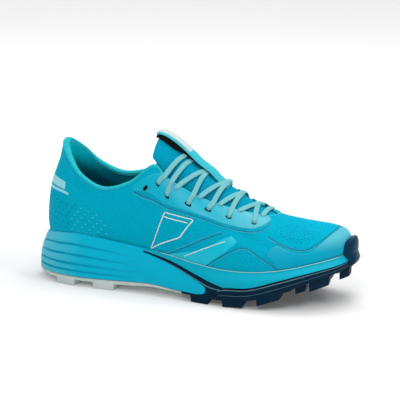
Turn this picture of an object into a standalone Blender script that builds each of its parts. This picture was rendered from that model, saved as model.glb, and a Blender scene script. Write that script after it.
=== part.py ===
"""A right trail running shoe, standing empty on its lugs.

The toe points to +X and the outer side of the foot to -Y. Every form is worked out from the
sizes below and from short tables of sections, whose lengths are shares of those sizes.
"""

import bmesh
import bpy
import numpy as np
from mathutils import Vector

# Driving sizes, in metres
LENGTH = 0.272
BALL_WIDTH = 0.100
SOLE_HEIGHT = 0.0305
UPPER_HEIGHT = 0.0890

# Walls, sheets and pads
WALL = 0.0020
COLLAR_PAD = 0.0058
RIM_WALL = 0.0024
OUTSOLE_SHEET = 0.0022
MIDSOLE_LIP = 0.0016
INSOLE_THICKNESS = 0.0038
TONGUE_THICKNESS = 0.0036
OVERLAY = 0.0008
BORDER_MARGIN = 0.02
BUMPER_THICKNESS = 0.0027
STRAP_WIDTH = 0.015
STRAP_THICKNESS = 0.0014
LACE_WIDTH = 0.0054
LACE_THICKNESS = 0.0019
EYELET_RADIUS = 0.0022
LUG_HEIGHT = 0.0055
GROOVE_DEPTH = 0.0013
EDGE_BEVEL = 0.0018

# Clearances
GAP = 0.0003
LACE_CLEARANCE = 0.0006

# Columns of the loft between two section rows
STEPS = 3

# The last, a row for each section from the heel round to the toe. x is a share of LENGTH, outer
# and inner are shares of BALL_WIDTH, z is a share of UPPER_HEIGHT above the heel's footbed. The
# handles bend each section: low ones leave the foot line, high ones reach the rim. pad is the
# share of the collar's padding that the rim has there.
LAST_COLUMNS = (
    "name", "foot_x", "foot_outer", "foot_inner", "rim_x", "rim_outer", "rim_inner",
    "rim_z_outer", "rim_z_inner", "low_out", "low_up", "high_out", "high_down", "pad",
)
LAST_ROWS = (
    ("heel_back", 0.042, 0.000, 0.000, 0.066, 0.000, 0.000, 0.962, 0.962, 0.135, 0.315, 0.000, 0.315, 1.0),
    ("heel_turn", 0.055, 0.145, 0.145, 0.075, 0.105, 0.100, 0.935, 0.940, 0.120, 0.303, 0.010, 0.303, 1.0),
    ("heel_side", 0.096, 0.245, 0.240, 0.107, 0.205, 0.200, 0.843, 0.865, 0.100, 0.281, 0.020, 0.270, 1.0),
    ("counter", 0.165, 0.285, 0.280, 0.156, 0.270, 0.265, 0.702, 0.730, 0.080, 0.247, 0.035, 0.225, 1.0),
    ("ankle", 0.250, 0.295, 0.275, 0.233, 0.300, 0.290, 0.605, 0.646, 0.065, 0.202, 0.035, 0.202, 1.0),
    ("quarter", 0.338, 0.300, 0.260, 0.316, 0.290, 0.290, 0.683, 0.708, 0.080, 0.225, 0.055, 0.225, 1.0),
    ("collar_front", 0.412, 0.315, 0.255, 0.386, 0.250, 0.255, 0.854, 0.871, 0.085, 0.270, 0.090, 0.270, 0.6),
    ("facing_top", 0.482, 0.340, 0.280, 0.439, 0.270, 0.270, 0.742, 0.758, 0.080, 0.247, 0.090, 0.225, 0.1),
    ("instep", 0.555, 0.375, 0.335, 0.529, 0.260, 0.255, 0.603, 0.612, 0.075, 0.213, 0.095, 0.135, 0.0),
    ("ball_back", 0.636, 0.405, 0.390, 0.618, 0.220, 0.215, 0.522, 0.528, 0.065, 0.191, 0.130, 0.101, 0.0),
    ("ball", 0.721, 0.415, 0.425, 0.691, 0.170, 0.170, 0.472, 0.472, 0.060, 0.180, 0.160, 0.080, 0.0),
    ("toe_side", 0.809, 0.380, 0.420, 0.732, 0.110, 0.110, 0.450, 0.450, 0.060, 0.202, 0.200, 0.078, 0.0),
    ("toe_turn", 0.888, 0.290, 0.375, 0.749, 0.055, 0.058, 0.446, 0.446, 0.060, 0.247, 0.250, 0.092, 0.0),
    ("toe_front", 0.946, 0.140, 0.270, 0.755, 0.022, 0.025, 0.446, 0.446, 0.070, 0.335, 0.340, 0.104, 0.0),
    ("toe_tip", 0.972, -0.060, 0.060, 0.757, -0.003, 0.003, 0.446, 0.446, 0.100, 0.410, 0.380, 0.112, 0.0),
)

# The sole, on the same rows. Heights are shares of SOLE_HEIGHT above the floor: the border with
# the upper, the footbed, the seam with the outsole, and the base that the lugs stand on.
SOLE_COLUMNS = ("name", "x", "outer", "inner", "border", "footbed", "seam", "base")
SOLE_ROWS = (
    ("heel_back", 0.004, 0.000, 0.000, 1.295, 1.016, 0.315, 0.210),
    ("heel_turn", 0.018, 0.175, 0.170, 1.318, 1.016, 0.308, 0.197),
    ("heel_side", 0.066, 0.310, 0.300, 1.397, 1.016, 0.289, 0.171),
    ("counter", 0.154, 0.375, 0.365, 1.449, 1.007, 0.270, 0.164),
    ("ankle", 0.250, 0.385, 0.360, 1.384, 0.970, 0.279, 0.164),
    ("quarter", 0.338, 0.388, 0.335, 1.298, 0.925, 0.308, 0.190),
    ("waist", 0.415, 0.400, 0.320, 1.210, 0.879, 0.325, 0.230),
    ("arch", 0.493, 0.425, 0.340, 1.125, 0.820, 0.250, 0.180),
    ("instep", 0.570, 0.465, 0.400, 1.020, 0.764, 0.250, 0.164),
    ("ball_back", 0.640, 0.493, 0.455, 0.955, 0.728, 0.510, 0.160),
    ("ball", 0.721, 0.500, 0.498, 0.975, 0.741, 0.590, 0.235),
    ("toe_side", 0.812, 0.465, 0.495, 1.085, 0.845, 0.850, 0.500),
    ("toe_turn", 0.904, 0.355, 0.435, 1.250, 1.033, 1.090, 0.810),
    ("toe_front", 0.967, 0.180, 0.310, 1.370, 1.167, 1.215, 0.993),
    ("toe_tip", 0.988, -0.065, 0.065, 1.416, 1.233, 1.260, 1.056),
)

# The side wall's swell, the heights of its loops, and the steps round the heel: the share of the
# wall's height they stand at, and how much of it they lose over the shoe's length
SWELL = 0.0022
PLAIN_WALL = (0.25, 0.5, 0.75)
GROOVES = ((0.14, 0.45), (0.33, 0.50), (0.56, 0.40), (0.80, 0.28))
GROOVE_HEIGHT = 0.050
GROOVE_END = 0.56

# The frame's blade between the two foams, as x and z shares of LENGTH and SOLE_HEIGHT
BLADE_START = 0.376
BLADE_TOP = (
    (BLADE_START, 1.185), (0.467, 1.010), (0.551, 0.765), (0.599, 0.633), (0.645, 0.515), (0.665, 0.300),
)
BLADE_BOTTOM = (
    (0.572, 0.200), (0.584, 0.290), (0.589, 0.380), (0.587, 0.460), (0.578, 0.530), (0.533, 0.705),
    (0.489, 0.860), (0.410, 1.085), (BLADE_START, 1.150),
)
OUTSOLE_SPLIT = 0.508

# Lugs: x range as shares of LENGTH, and the range across as shares of the local half width,
# negative on the outer side. skew leans the inboard end forward, as a share of LENGTH.
LUG_COLUMNS = ("x0", "x1", "f0", "f1", "skew")
EDGE_LUGS = (
    (0.090, 0.158, 0.60, 0.97, 0.012),
    (0.216, 0.287, 0.60, 0.97, 0.012),
    (0.538, 0.599, 0.62, 0.97, -0.012),
    (0.640, 0.707, 0.62, 0.97, -0.012),
    (0.744, 0.816, 0.60, 0.97, -0.012),
    (0.891, 0.944, 0.45, 0.96, -0.010),
)
INNER_LUGS = (
    (0.128, 0.180, 0.06, 0.42, 0.020),
    (0.200, 0.250, 0.06, 0.42, 0.020),
    (0.268, 0.310, 0.06, 0.42, 0.020),
    (0.560, 0.612, 0.08, 0.46, -0.020),
    (0.640, 0.692, 0.08, 0.46, -0.020),
    (0.716, 0.768, 0.08, 0.46, -0.020),
    (0.790, 0.836, 0.08, 0.42, -0.018),
    (0.850, 0.880, 0.30, 0.80, -0.012),
)
CENTRE_LUGS = (
    (0.014, 0.050, -0.60, 0.60, 0.0),
    (0.900, 0.930, -0.22, 0.24, 0.0),
    (0.960, 0.986, -0.55, 0.60, 0.0),
)

# The toe bumper. Each row stands at a level: 0 at the seam, 1 at the border, 2 at its top.
# width and stand-off are shares of the next sizes.
BUMPER_WIDTH = 0.027
BUMPER_SIDE = 0.032
BUMPER_TOP = 0.25
BUMPER_ACROSS = 6
BUMPER_COLUMNS = ("level", "width", "stand")
BUMPER_ROWS = (
    (-0.75, 0.72, 0.20), (-0.25, 0.84, 0.90), (0.00, 0.88, 1.05), (1.00, 1.00, 1.00),
    (1.20, 1.00, 1.05), (1.60, 0.96, 0.95), (1.86, 0.80, 0.80), (2.00, 0.54, 0.55),
)

# The tongue, a row for each section: x share of LENGTH, crest and edge drop shares of
# UPPER_HEIGHT, half width share of BALL_WIDTH
TONGUE_COLUMNS = ("name", "x", "crest", "half", "drop")
TONGUE_ROWS = (
    ("under_vamp", 0.790, 0.392, 0.125, 0.028),
    ("throat_end", 0.746, 0.430, 0.160, 0.048),
    ("lower_lace", 0.691, 0.500, 0.205, 0.094),
    ("mid_lace", 0.625, 0.594, 0.235, 0.148),
    ("instep", 0.551, 0.726, 0.250, 0.209),
    ("upper_lace", 0.485, 0.868, 0.250, 0.262),
    ("collar", 0.434, 0.985, 0.228, 0.262),
    ("above_collar", 0.402, 1.045, 0.212, 0.205),
    ("top", 0.380, 1.080, 0.205, 0.160),
)
TONGUE_ACROSS = 6

# The pull strap over the tongue's crest: its underside, x and z shares of LENGTH and UPPER_HEIGHT
STRAP_LINE = (
    (0.556, 0.726), (0.547, 0.782), (0.530, 0.818), (0.512, 0.858), (0.480, 0.945), (0.445, 1.038),
    (0.410, 1.100), (0.386, 1.120), (0.3735, 1.110), (0.3725, 1.098),
)

# Eyelets of the outer facing in the side view, x and z shares of LENGTH and UPPER_HEIGHT, from
# the toe up. The last one stays empty. The inner facing has the same ones a little further on.
EYELETS = (
    (0.707, 0.400), (0.633, 0.439), (0.568, 0.493), (0.507, 0.531), (0.442, 0.590), (0.409, 0.687),
    (0.372, 0.640),
)
INNER_FACING_SHIFT = 0.012

# Lace bars: where each crosses the tongue's crest, as a share of LENGTH, and where its low end
# dives under the facing. The first is the straight bar at the bottom.
STRAIGHT_BAR = 0.722
CREST_X = (0.685, 0.633, 0.586, 0.530, 0.461)
DIVE_X = (0.658, 0.596, 0.545, 0.482)

# Overlays in the side view, x and z shares of LENGTH and UPPER_HEIGHT above the heel's footbed
FACING_OUTLINE = (
    (0.322, 0.689), (0.321, 0.637), (0.338, 0.613), (0.388, 0.575), (0.463, 0.497), (0.541, 0.413),
    (0.610, 0.371), (0.671, 0.355), (0.715, 0.359), (0.740, 0.385), (0.757, 0.430), (0.775, 0.500),
    (0.740, 0.700), (0.550, 0.900), (0.435, 0.800), (0.330, 0.730),
)
TOE_OUTLINE = (
    (0.714, 0.085), (0.710, 0.152), (0.734, 0.193), (0.758, 0.218), (0.783, 0.214), (0.824, 0.180),
    (0.860, 0.168), (0.879, 0.184), (0.902, 0.241), (0.928, 0.301), (0.955, 0.340), (1.050, 0.350),
    (1.050, -0.050), (0.810, -0.050), (0.776, 0.001),
)
SIDE_OUTLINE = (
    (0.486, 0.022), (0.522, 0.051), (0.639, 0.295), (0.658, 0.300), (0.670, 0.290), (0.666, 0.235),
    (0.581, -0.020),
)


def table(columns, rows):
    """The rows as one array for each named column."""
    return {name: [row[i] for row in rows] for i, name in enumerate(columns)}


LAST = table(LAST_COLUMNS, LAST_ROWS)
SOLE = table(SOLE_COLUMNS, SOLE_ROWS)
TONGUE = table(TONGUE_COLUMNS, TONGUE_ROWS)
ROWS = len(LAST_ROWS)
HALF = (ROWS - 1) * STEPS
LOOP = 2 * HALF


def smooth(value, low, high):
    """0 below low and 1 above high, with an even start and end."""
    t = np.clip((np.asarray(value, float) - low) / (high - low), 0.0, 1.0)
    return t * t * (3.0 - 2.0 * t)


def around(outer, inner=None):
    """A closed smooth curve through a column's rows: heel, outer side, toe, inner side."""
    inner = outer if inner is None else inner
    rows = np.array(list(outer) + list(inner)[-2:0:-1], float)
    count = len(rows)
    values = []
    for i in range(count):
        a, b, c, d = (rows[(i + k) % count] for k in (-1, 0, 1, 2))
        for t in np.arange(STEPS) / STEPS:
            cubic = (2.0 * a - 5.0 * b + 4.0 * c - d) * t * t + (3.0 * (b - c) + d - a) * t**3
            values.append(0.5 * (2.0 * b + (c - a) * t + cubic))
    return np.array(values)


def along(rows, steps):
    """A smooth open curve through rows of points, with steps pieces between two of them."""
    rows = np.array(rows, float)
    padded = np.vstack([2 * rows[0] - rows[1], rows, 2 * rows[-1] - rows[-2]])
    points = []
    for i in range(1, len(padded) - 2):
        a, b, c, d = padded[i - 1:i + 3]
        for t in np.arange(steps) / steps:
            cubic = (2.0 * a - 5.0 * b + 4.0 * c - d) * t * t + (3.0 * (b - c) + d - a) * t**3
            points.append(0.5 * (2.0 * b + (c - a) * t + cubic))
    points.append(rows[-1])
    return np.array(points)


def outwards(x, y):
    """Level unit vectors that point out of a closed outline."""
    dx = np.roll(x, -1) - np.roll(x, 1)
    dy = np.roll(y, -1) - np.roll(y, 1)
    length = np.hypot(dx, dy)
    return np.stack([dy / length, -dx / length, np.zeros(len(x))], axis=1)


def signed(outer, inner):
    """Half widths as y: negative on the outer side, positive on the inner side."""
    return around([-w for w in outer], inner) * BALL_WIDTH


def upper_z(share):
    """Height of a share of the upper above the heel's footbed."""
    return SOLE_HEIGHT + np.asarray(share, float) * UPPER_HEIGHT


class Last:
    """The upper's outer surface: a cubic section for each column of the loop."""

    def __init__(self):
        foot_x = around(LAST["foot_x"]) * LENGTH
        foot_y = signed(LAST["foot_outer"], LAST["foot_inner"])
        self.footbed = around(SOLE["footbed"]) * SOLE_HEIGHT
        self.border = around(SOLE["border"]) * SOLE_HEIGHT
        self.out = outwards(foot_x, foot_y)
        up = np.array([0.0, 0.0, 1.0])
        self.foot = np.stack([foot_x, foot_y, self.footbed + GAP], axis=1)
        rim_y = signed(LAST["rim_outer"], LAST["rim_inner"])
        rim_z = upper_z(around(LAST["rim_z_outer"], LAST["rim_z_inner"]))
        self.rim = np.stack([around(LAST["rim_x"]) * LENGTH, rim_y, rim_z], axis=1)
        reach = (self.foot - self.rim) * [1.0, 1.0, 0.0]
        distance = np.linalg.norm(reach, axis=1, keepdims=True)
        share = smooth(distance / BALL_WIDTH, 0.05, 0.25)
        lean = share * reach / np.maximum(distance, 1e-9) + (1.0 - share) * self.out
        lean /= np.linalg.norm(lean, axis=1, keepdims=True)
        low_out = around(LAST["low_out"])[:, None] * BALL_WIDTH
        low_up = around(LAST["low_up"])[:, None] * UPPER_HEIGHT
        high_out = around(LAST["high_out"])[:, None] * BALL_WIDTH
        high_down = around(LAST["high_down"])[:, None] * UPPER_HEIGHT
        self.low = self.foot + low_out * self.out + low_up * up
        self.high = self.rim + high_out * lean - high_down * up
        self.pad = np.clip(around(LAST["pad"]), 0.0, 1.0)
        self.border_v = self.v_at(self.border)

    def at(self, v):
        """The loop of points at the share v of each section's curve."""
        v = np.broadcast_to(np.asarray(v, float), (LOOP,))[:, None]
        u = 1.0 - v
        return u**3 * self.foot + 3 * u * u * v * self.low + 3 * u * v * v * self.high + v**3 * self.rim

    def v_at(self, height):
        """The share of each section's curve at which it reaches a height."""
        low, high = np.zeros(LOOP), np.full(LOOP, 0.7)
        for _ in range(40):
            middle = (low + high) / 2
            under = self.at(middle)[:, 2] < height
            low, high = np.where(under, middle, low), np.where(under, high, middle)
        return (low + high) / 2

    def normals(self, v):
        """Unit normals that point out of the surface at the share v."""
        v = np.broadcast_to(np.asarray(v, float), (LOOP,))
        points = self.at(v)
        across = np.roll(points, -1, axis=0) - np.roll(points, 1, axis=0)
        rise = self.at(np.minimum(v + 0.02, 1.0)) - self.at(np.maximum(v - 0.02, 0.0))
        normal = np.cross(across, rise)
        return normal / np.linalg.norm(normal, axis=1, keepdims=True)

    def offset(self, v, distance):
        """The loop at the share v, moved along the normals."""
        distance = np.broadcast_to(np.asarray(distance, float), (LOOP,))[:, None]
        return self.at(v) + self.normals(v) * distance

    def thickness(self, v):
        """The wall's thickness: padded towards the collar."""
        return WALL + (COLLAR_PAD - WALL) * self.pad * smooth(v, 0.45, 0.85)

    def loops(self):
        """The shares v of the loft's loops: the foot line, the sole's border, up to the rim."""
        spread = (0.17, 0.36, 0.54, 0.71, 0.87, 1.0)
        cup = [np.zeros(LOOP), self.border_v]
        return cup + [self.border_v + (1.0 - self.border_v) * s for s in spread]


def new_object(name, vertices, faces, colour, roughness=0.6):
    """A closed mesh object with its own material, its faces turned outwards."""
    mesh = bpy.data.meshes.new(name)
    mesh.from_pydata([tuple(map(float, v)) for v in vertices], [], faces)
    work = bmesh.new()
    work.from_mesh(mesh)
    bmesh.ops.remove_doubles(work, verts=work.verts, dist=1e-6)
    bmesh.ops.recalc_face_normals(work, faces=work.faces)
    work.to_mesh(mesh)
    work.free()
    obj = bpy.data.objects.new(name, mesh)
    bpy.context.scene.collection.objects.link(obj)
    if colour is not None:
        material = bpy.data.materials.new(name)
        material.use_nodes = True
        shader = material.node_tree.nodes["Principled BSDF"]
        shader.inputs["Base Color"].default_value = (*colour, 1.0)
        shader.inputs["Roughness"].default_value = roughness
        mesh.materials.append(material)
    return obj


def ring_faces(count, first, second):
    """Faces between two closed loops that start at the vertices first and second."""
    faces = []
    for j in range(count):
        k = (j + 1) % count
        faces.append((first + j, first + k, second + k, second + j))
    return faces


def strip_cap(first):
    """Faces across a loop, from its outer side to its inner side."""
    faces = []
    for i in range(HALF):
        corners = (i, i + 1, LOOP - i - 1, (LOOP - i) % LOOP)
        faces.append(tuple(dict.fromkeys(first + c for c in corners)))
    return faces


def loft(name, loops, colour, capped=True, roughness=0.6):
    """Loops skinned in turn, closed with strips at both ends, or else back to the first loop."""
    vertices = np.vstack(loops)
    faces = []
    for i in range(len(loops) - 1):
        faces += ring_faces(LOOP, i * LOOP, (i + 1) * LOOP)
    last = (len(loops) - 1) * LOOP
    if capped:
        faces += strip_cap(0) + strip_cap(last)
    else:
        faces += ring_faces(LOOP, last, 0)
    return new_object(name, vertices, faces, colour, roughness)


def slab(name, top, bottom, colour, roughness=0.6):
    """A sheet between two grids of points, with its four edges closed."""
    rows, columns = top.shape[:2]
    size = rows * columns
    faces = []
    for base in (0, size):
        for i in range(rows - 1):
            for j in range(columns - 1):
                a = base + i * columns + j
                faces.append((a, a + 1, a + columns + 1, a + columns))
    edge = [(0, j) for j in range(columns)] + [(i, columns - 1) for i in range(1, rows)]
    edge += [(rows - 1, j) for j in range(columns - 2, -1, -1)] + [(i, 0) for i in range(rows - 2, 0, -1)]
    ids = [i * columns + j for i, j in edge]
    for a, b in zip(ids, ids[1:] + ids[:1]):
        faces.append((a, b, b + size, a + size))
    vertices = np.vstack([top.reshape(-1, 3), bottom.reshape(-1, 3)])
    return new_object(name, vertices, faces, colour, roughness)


def prism(name, outline, y0, y1):
    """A cutter: an outline in x and z, run from y0 to y1."""
    count = len(outline)
    vertices = [(x, y, z) for y in (y0, y1) for x, z in outline]
    faces = [tuple(range(count)), tuple(range(count, 2 * count))] + ring_faces(count, 0, count)
    cutter = new_object(name, vertices, faces, None)
    cutter.hide_render = True
    cutter.display_type = "WIRE"
    return cutter


def combine(target, other, operation, keep_other=False):
    """Applies a Boolean of another object to the target's mesh."""
    modifier = target.modifiers.new("combine", "BOOLEAN")
    modifier.operation = operation
    modifier.solver = "EXACT"
    modifier.object = other
    graph = bpy.context.evaluated_depsgraph_get()
    mesh = bpy.data.meshes.new_from_object(target.evaluated_get(graph))
    target.modifiers.clear()
    target.data = mesh
    work = bmesh.new()
    work.from_mesh(mesh)
    bmesh.ops.dissolve_degenerate(work, dist=1e-6, edges=work.edges)
    bmesh.ops.recalc_face_normals(work, faces=work.faces)
    work.to_mesh(mesh)
    work.free()
    if not keep_other:
        bpy.data.objects.remove(other)
    return target


def copy_of(obj, name):
    """A copy of an object with a mesh of its own."""
    twin = obj.copy()
    twin.data = obj.data.copy()
    twin.name = name
    bpy.context.scene.collection.objects.link(twin)
    return twin


def make_upper(last):
    """The upper: one hollow wall, open at the collar, the throat and underneath."""
    shares = last.loops()
    outer = [last.at(v) for v in shares]
    crown = 0.42
    top = np.ones(LOOP)
    thick = last.thickness(top)
    rise = last.at(top) - last.at(top - 0.04)
    rise /= np.linalg.norm(rise, axis=1, keepdims=True)
    rounding = []
    for depth in (0.22, 0.78):
        rounding.append(last.offset(top, -depth * thick) + rise * (crown * thick)[:, None])
    inner = [last.offset(shares[i], -last.thickness(shares[i])) for i in (7, 6, 5, 3)]
    foot = last.foot - last.out * WALL
    cup = last.offset(shares[1], -WALL)
    return loft("upper", outer + rounding + inner + [cup, foot], (0.0, 0.42, 0.58), capped=False)


def cup_loops(last):
    """The loops of the hollow that holds the upper, from its border to its floor."""
    floor = last.foot + last.out * GAP
    floor[:, 2] = last.footbed
    return [last.offset(last.border_v, GAP), floor]


def sole_line(z, inset=0.0):
    """The sole's outline at a height, moved inwards."""
    x = around(SOLE["x"]) * LENGTH
    y = signed(SOLE["outer"], SOLE["inner"])
    points = np.stack([x, y, np.broadcast_to(z, (LOOP,))], axis=1)
    return points - outwards(x, y) * inset


def seam_height():
    """Height of the seam between foam and outsole, never under the outsole's sheet."""
    floor = around(SOLE["base"]) * SOLE_HEIGHT + OUTSOLE_SHEET
    return np.maximum(around(SOLE["seam"]) * SOLE_HEIGHT, floor)


def side_wall(last, seam, grooved, inset=0.0):
    """Loops up the sole's side from the seam to the lip beside the upper."""
    low = sole_line(seam, inset)
    top = last.at(last.border_v) + last.out * (GAP + MIDSOLE_LIP - inset)
    top[:, 2] = last.border - 0.4 * MIDSOLE_LIP
    out = outwards(low[:, 0], low[:, 1])
    x = low[:, 0] / LENGTH
    heights = [(share, 0.0) for share in PLAIN_WALL]
    if grooved:
        heights = []
        fade = GROOVE_DEPTH * (1.0 - smooth(x, 0.6 * GROOVE_END, GROOVE_END))
        for level, fall in GROOVES:
            share = level * (1.0 - fall * x)
            heights += [(share - GROOVE_HEIGHT / 2, 0.0), (share + GROOVE_HEIGHT / 2, fade)]
    loops = [low]
    toe = 1.0 - smooth(x, 0.80, 0.98)
    for share, depth in heights:
        share = np.broadcast_to(share, (LOOP,))
        push = 4.0 * share * (1.0 - share) * SWELL * toe - depth
        loops.append(low + (top - low) * share[:, None] + out * push[:, None])
    return loops + [top]


def beside(line, distance):
    """A line of the sole's side view, moved to its left by a distance."""
    points = np.array(line) * [LENGTH, SOLE_HEIGHT]
    run = np.gradient(points, axis=0)
    run /= np.linalg.norm(run, axis=1, keepdims=True)
    moved = points + np.stack([-run[:, 1], run[:, 0]], axis=1) * distance
    return [tuple(map(float, point)) for point in moved]


def make_foams(last):
    """The heel foam and the forefoot foam, split by the frame's blade."""
    seam = seam_height() + GAP
    base = around(SOLE["base"]) * SOLE_HEIGHT + OUTSOLE_SHEET + GAP
    tucked = RIM_WALL + GAP
    under = [sole_line(base, tucked), sole_line(seam, tucked)]
    inner = cup_loops(last)
    heel = loft("midsole_heel", under + side_wall(last, seam, True) + inner, (0.0, 0.50, 0.72))
    fore = loft("midsole_forefoot", under + side_wall(last, seam, False) + inner, (0.03, 0.62, 0.74))
    wide = BALL_WIDTH
    start = BLADE_START * LENGTH
    below = beside(BLADE_BOTTOM, GAP)
    below = [(-0.02, -0.01), (below[0][0], -0.01)] + below
    below += [(start - GAP, 2 * SOLE_HEIGHT), (-0.02, 2 * SOLE_HEIGHT)]
    above = beside(BLADE_TOP, GAP)
    above[0] = (start, above[0][1])
    above += [(above[-1][0], -0.01), (1.1 * LENGTH, -0.01)]
    above += [(1.1 * LENGTH, 2.5 * SOLE_HEIGHT), (start, 2.5 * SOLE_HEIGHT)]
    combine(heel, prism("heel_cut", below, -wide, wide), "INTERSECT")
    combine(fore, prism("fore_cut", above, -wide, wide), "INTERSECT")
    return heel, fore


def outsole_loops(z_top):
    """The outsole's cup: a sheet with a rim that rises to the seam."""
    base = around(SOLE["base"]) * SOLE_HEIGHT
    bevel = EDGE_BEVEL
    floor = base + OUTSOLE_SHEET
    lower = [sole_line(base, bevel), sole_line(base + 0.6 * bevel, 0.25 * bevel)]
    upper = [sole_line(z_top), sole_line(z_top, RIM_WALL), sole_line(floor, RIM_WALL)]
    return lower + upper


def half_width(x, side):
    """The sole's half width at x, on one side."""
    column = "outer" if side < 0 else "inner"
    return np.interp(x / LENGTH, SOLE["x"], np.abs(SOLE[column])) * BALL_WIDTH


def make_lug(x0, x1, f0, f1, skew):
    """A lug: a block whose foot follows the base a lug's height below it."""
    corners = []
    for x, f in ((x0, f0), (x1, f0), (x1, f1), (x0, f1)):
        inboard = 1.0 - abs(f)
        x = (x + skew * inboard) * LENGTH
        side = -1.0 if f < 0 else 1.0
        y = side * abs(f) * half_width(x, side)
        base = np.interp(x / LENGTH, SOLE["x"], SOLE["base"]) * SOLE_HEIGHT
        corners.append((x, y, base))
    centre = np.mean([c[:2] for c in corners], axis=0)
    vertices = []
    for x, y, base in corners:
        foot = np.array([x, y]) + (centre - [x, y]) * 0.08
        vertices.append((*foot, max(base - LUG_HEIGHT, 0.0)))
    vertices += [(x, y, base + 0.6 * OUTSOLE_SHEET) for x, y, base in corners]
    faces = [(0, 1, 2, 3), (4, 5, 6, 7)] + ring_faces(4, 0, 4)
    return new_object("lug", vertices, faces, None)


def make_lugs():
    """All lugs: edge and inner ones on both sides, and those across the middle."""
    lugs = []
    for side in (-1.0, 1.0):
        for x0, x1, f0, f1, skew in EDGE_LUGS + INNER_LUGS:
            lugs.append(make_lug(x0, x1, side * f0, side * f1, skew))
    lugs += [make_lug(*row) for row in CENTRE_LUGS]
    return lugs


def across_toe(loop, y):
    """Points of a loop round the toe, at given places across it."""
    near = loop[HALF - 3 * STEPS:HALF + 3 * STEPS + 1]
    return np.stack([np.interp(y, near[:, 1], near[:, k]) for k in range(3)], axis=1)


def make_bumper(last):
    """The toe bumper: a rounded rubber tongue that climbs the front of the toe."""
    across = np.linspace(-1.0, 1.0, BUMPER_ACROSS + 1)
    seam = seam_height()
    lip = last.at(last.border_v) + last.out * (2 * GAP + MIDSOLE_LIP)
    under, over = [], []
    for level, width, stand in BUMPER_ROWS:
        y = (across * width * BUMPER_WIDTH / 2) + BUMPER_SIDE * BALL_WIDTH
        if level < 0.0:
            inner = sole_line(seam + level * (last.border - seam), RIM_WALL * 0.5)
            outer = inner + last.out * (RIM_WALL * 0.5 + stand * BUMPER_THICKNESS)
        elif level <= 1.0:
            low = sole_line(seam, -2 * GAP)
            inner = low + (lip - low) * level
            outer = inner + last.out * stand * BUMPER_THICKNESS
        else:
            v = last.border_v + (level - 1.0) * (BUMPER_TOP - last.border_v)
            inner = last.offset(v, 3 * GAP + OVERLAY)
            outer = last.offset(v, 3 * GAP + OVERLAY + stand * BUMPER_THICKNESS)
        under.append(across_toe(inner, y))
        over.append(across_toe(outer, y))
    return slab("bumper", np.array(over), np.array(under), None)


def make_outsoles(last):
    """The heel outsole and the forefoot one, which carries the blade and the toe bumper."""
    navy, pale = (0.010, 0.045, 0.11), (0.62, 0.72, 0.70)
    seam = seam_height()
    base = around(SOLE["base"]) * SOLE_HEIGHT
    fore = loft("outsole_forefoot", outsole_loops(seam), navy, roughness=0.5)
    heel = copy_of(fore, "outsole_heel")
    heel.data.materials[0] = heel.data.materials[0].copy()
    heel.data.materials[0].name = "outsole_heel"
    heel.data.materials[0].node_tree.nodes["Principled BSDF"].inputs["Base Color"].default_value = (*pale, 1.0)
    split = OUTSOLE_SPLIT * LENGTH
    wide, low, high = BALL_WIDTH, -0.02, 0.1
    front = [(split + GAP / 2, low), (1.1 * LENGTH, low), (1.1 * LENGTH, high), (split + GAP / 2, high)]
    back = [(-0.02, low), (split - GAP / 2, low), (split - GAP / 2, high), (-0.02, high)]
    combine(fore, prism("front_cut", front, -wide, wide), "INTERSECT")
    combine(heel, prism("back_cut", back, -wide, wide), "INTERSECT")
    for lug in make_lugs():
        target = heel if lug.data.vertices[0].co.x < split else fore
        combine(target, lug, "UNION")
    inset = 0.0004
    shell = [sole_line(base + 0.3 * OUTSOLE_SHEET, EDGE_BEVEL)] + side_wall(last, seam, False, inset)
    blade = loft("blade", shell + cup_loops(last), None)
    outline = [(x * LENGTH, z * SOLE_HEIGHT) for x, z in BLADE_TOP + BLADE_BOTTOM]
    combine(blade, prism("blade_cut", outline, -wide, wide), "INTERSECT")
    combine(fore, blade, "UNION")
    combine(fore, make_bumper(last), "UNION")
    return heel, fore


def make_insole(last):
    """The insole, lying on the footbed inside the upper."""
    under = last.foot - last.out * (WALL + 2 * GAP)
    under[:, 2] = last.footbed + GAP
    crown = under + [0.0, 0.0, INSOLE_THICKNESS]
    return loft("insole", [under, crown], (0.01, 0.06, 0.10), roughness=0.9)


def tongue_grid():
    """The tongue's outer surface: sections across it, from under the vamp to its top."""
    rows = np.array([TONGUE[name] for name in ("x", "crest", "half", "drop")]).T
    across = np.linspace(-1.0, 1.0, TONGUE_ACROSS + 1)
    grid = []
    for x, crest, half, drop in rows:
        section = []
        for w in across:
            section.append((x * LENGTH, w * half * BALL_WIDTH, upper_z(crest - drop * w * w)))
        grid.append(section)
    return np.array(grid)


def grid_normals(grid):
    """Upward unit normals of a grid of points."""
    down = np.gradient(grid, axis=0)
    across = np.gradient(grid, axis=1)
    normal = np.cross(down, across)
    normal /= np.linalg.norm(normal, axis=2, keepdims=True)
    return normal * np.sign(normal[:, :, 2:3])


def make_tongue():
    """The padded tongue, which fills the throat and stands above the collar."""
    outer = tongue_grid()
    inner = outer - grid_normals(outer) * TONGUE_THICKNESS
    return slab("tongue", outer, inner, (0.0, 0.44, 0.58), 0.8)


def tongue_z(x, y):
    """Height of the tongue's outer surface over a point of the plan."""
    order = np.argsort(TONGUE["x"])
    xs = np.array(TONGUE["x"])[order]
    crest, half, drop = (np.interp(x / LENGTH, xs, np.array(TONGUE[c])[order]) for c in ("crest", "half", "drop"))
    return upper_z(crest - drop * (y / (half * BALL_WIDTH))**2)


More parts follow.
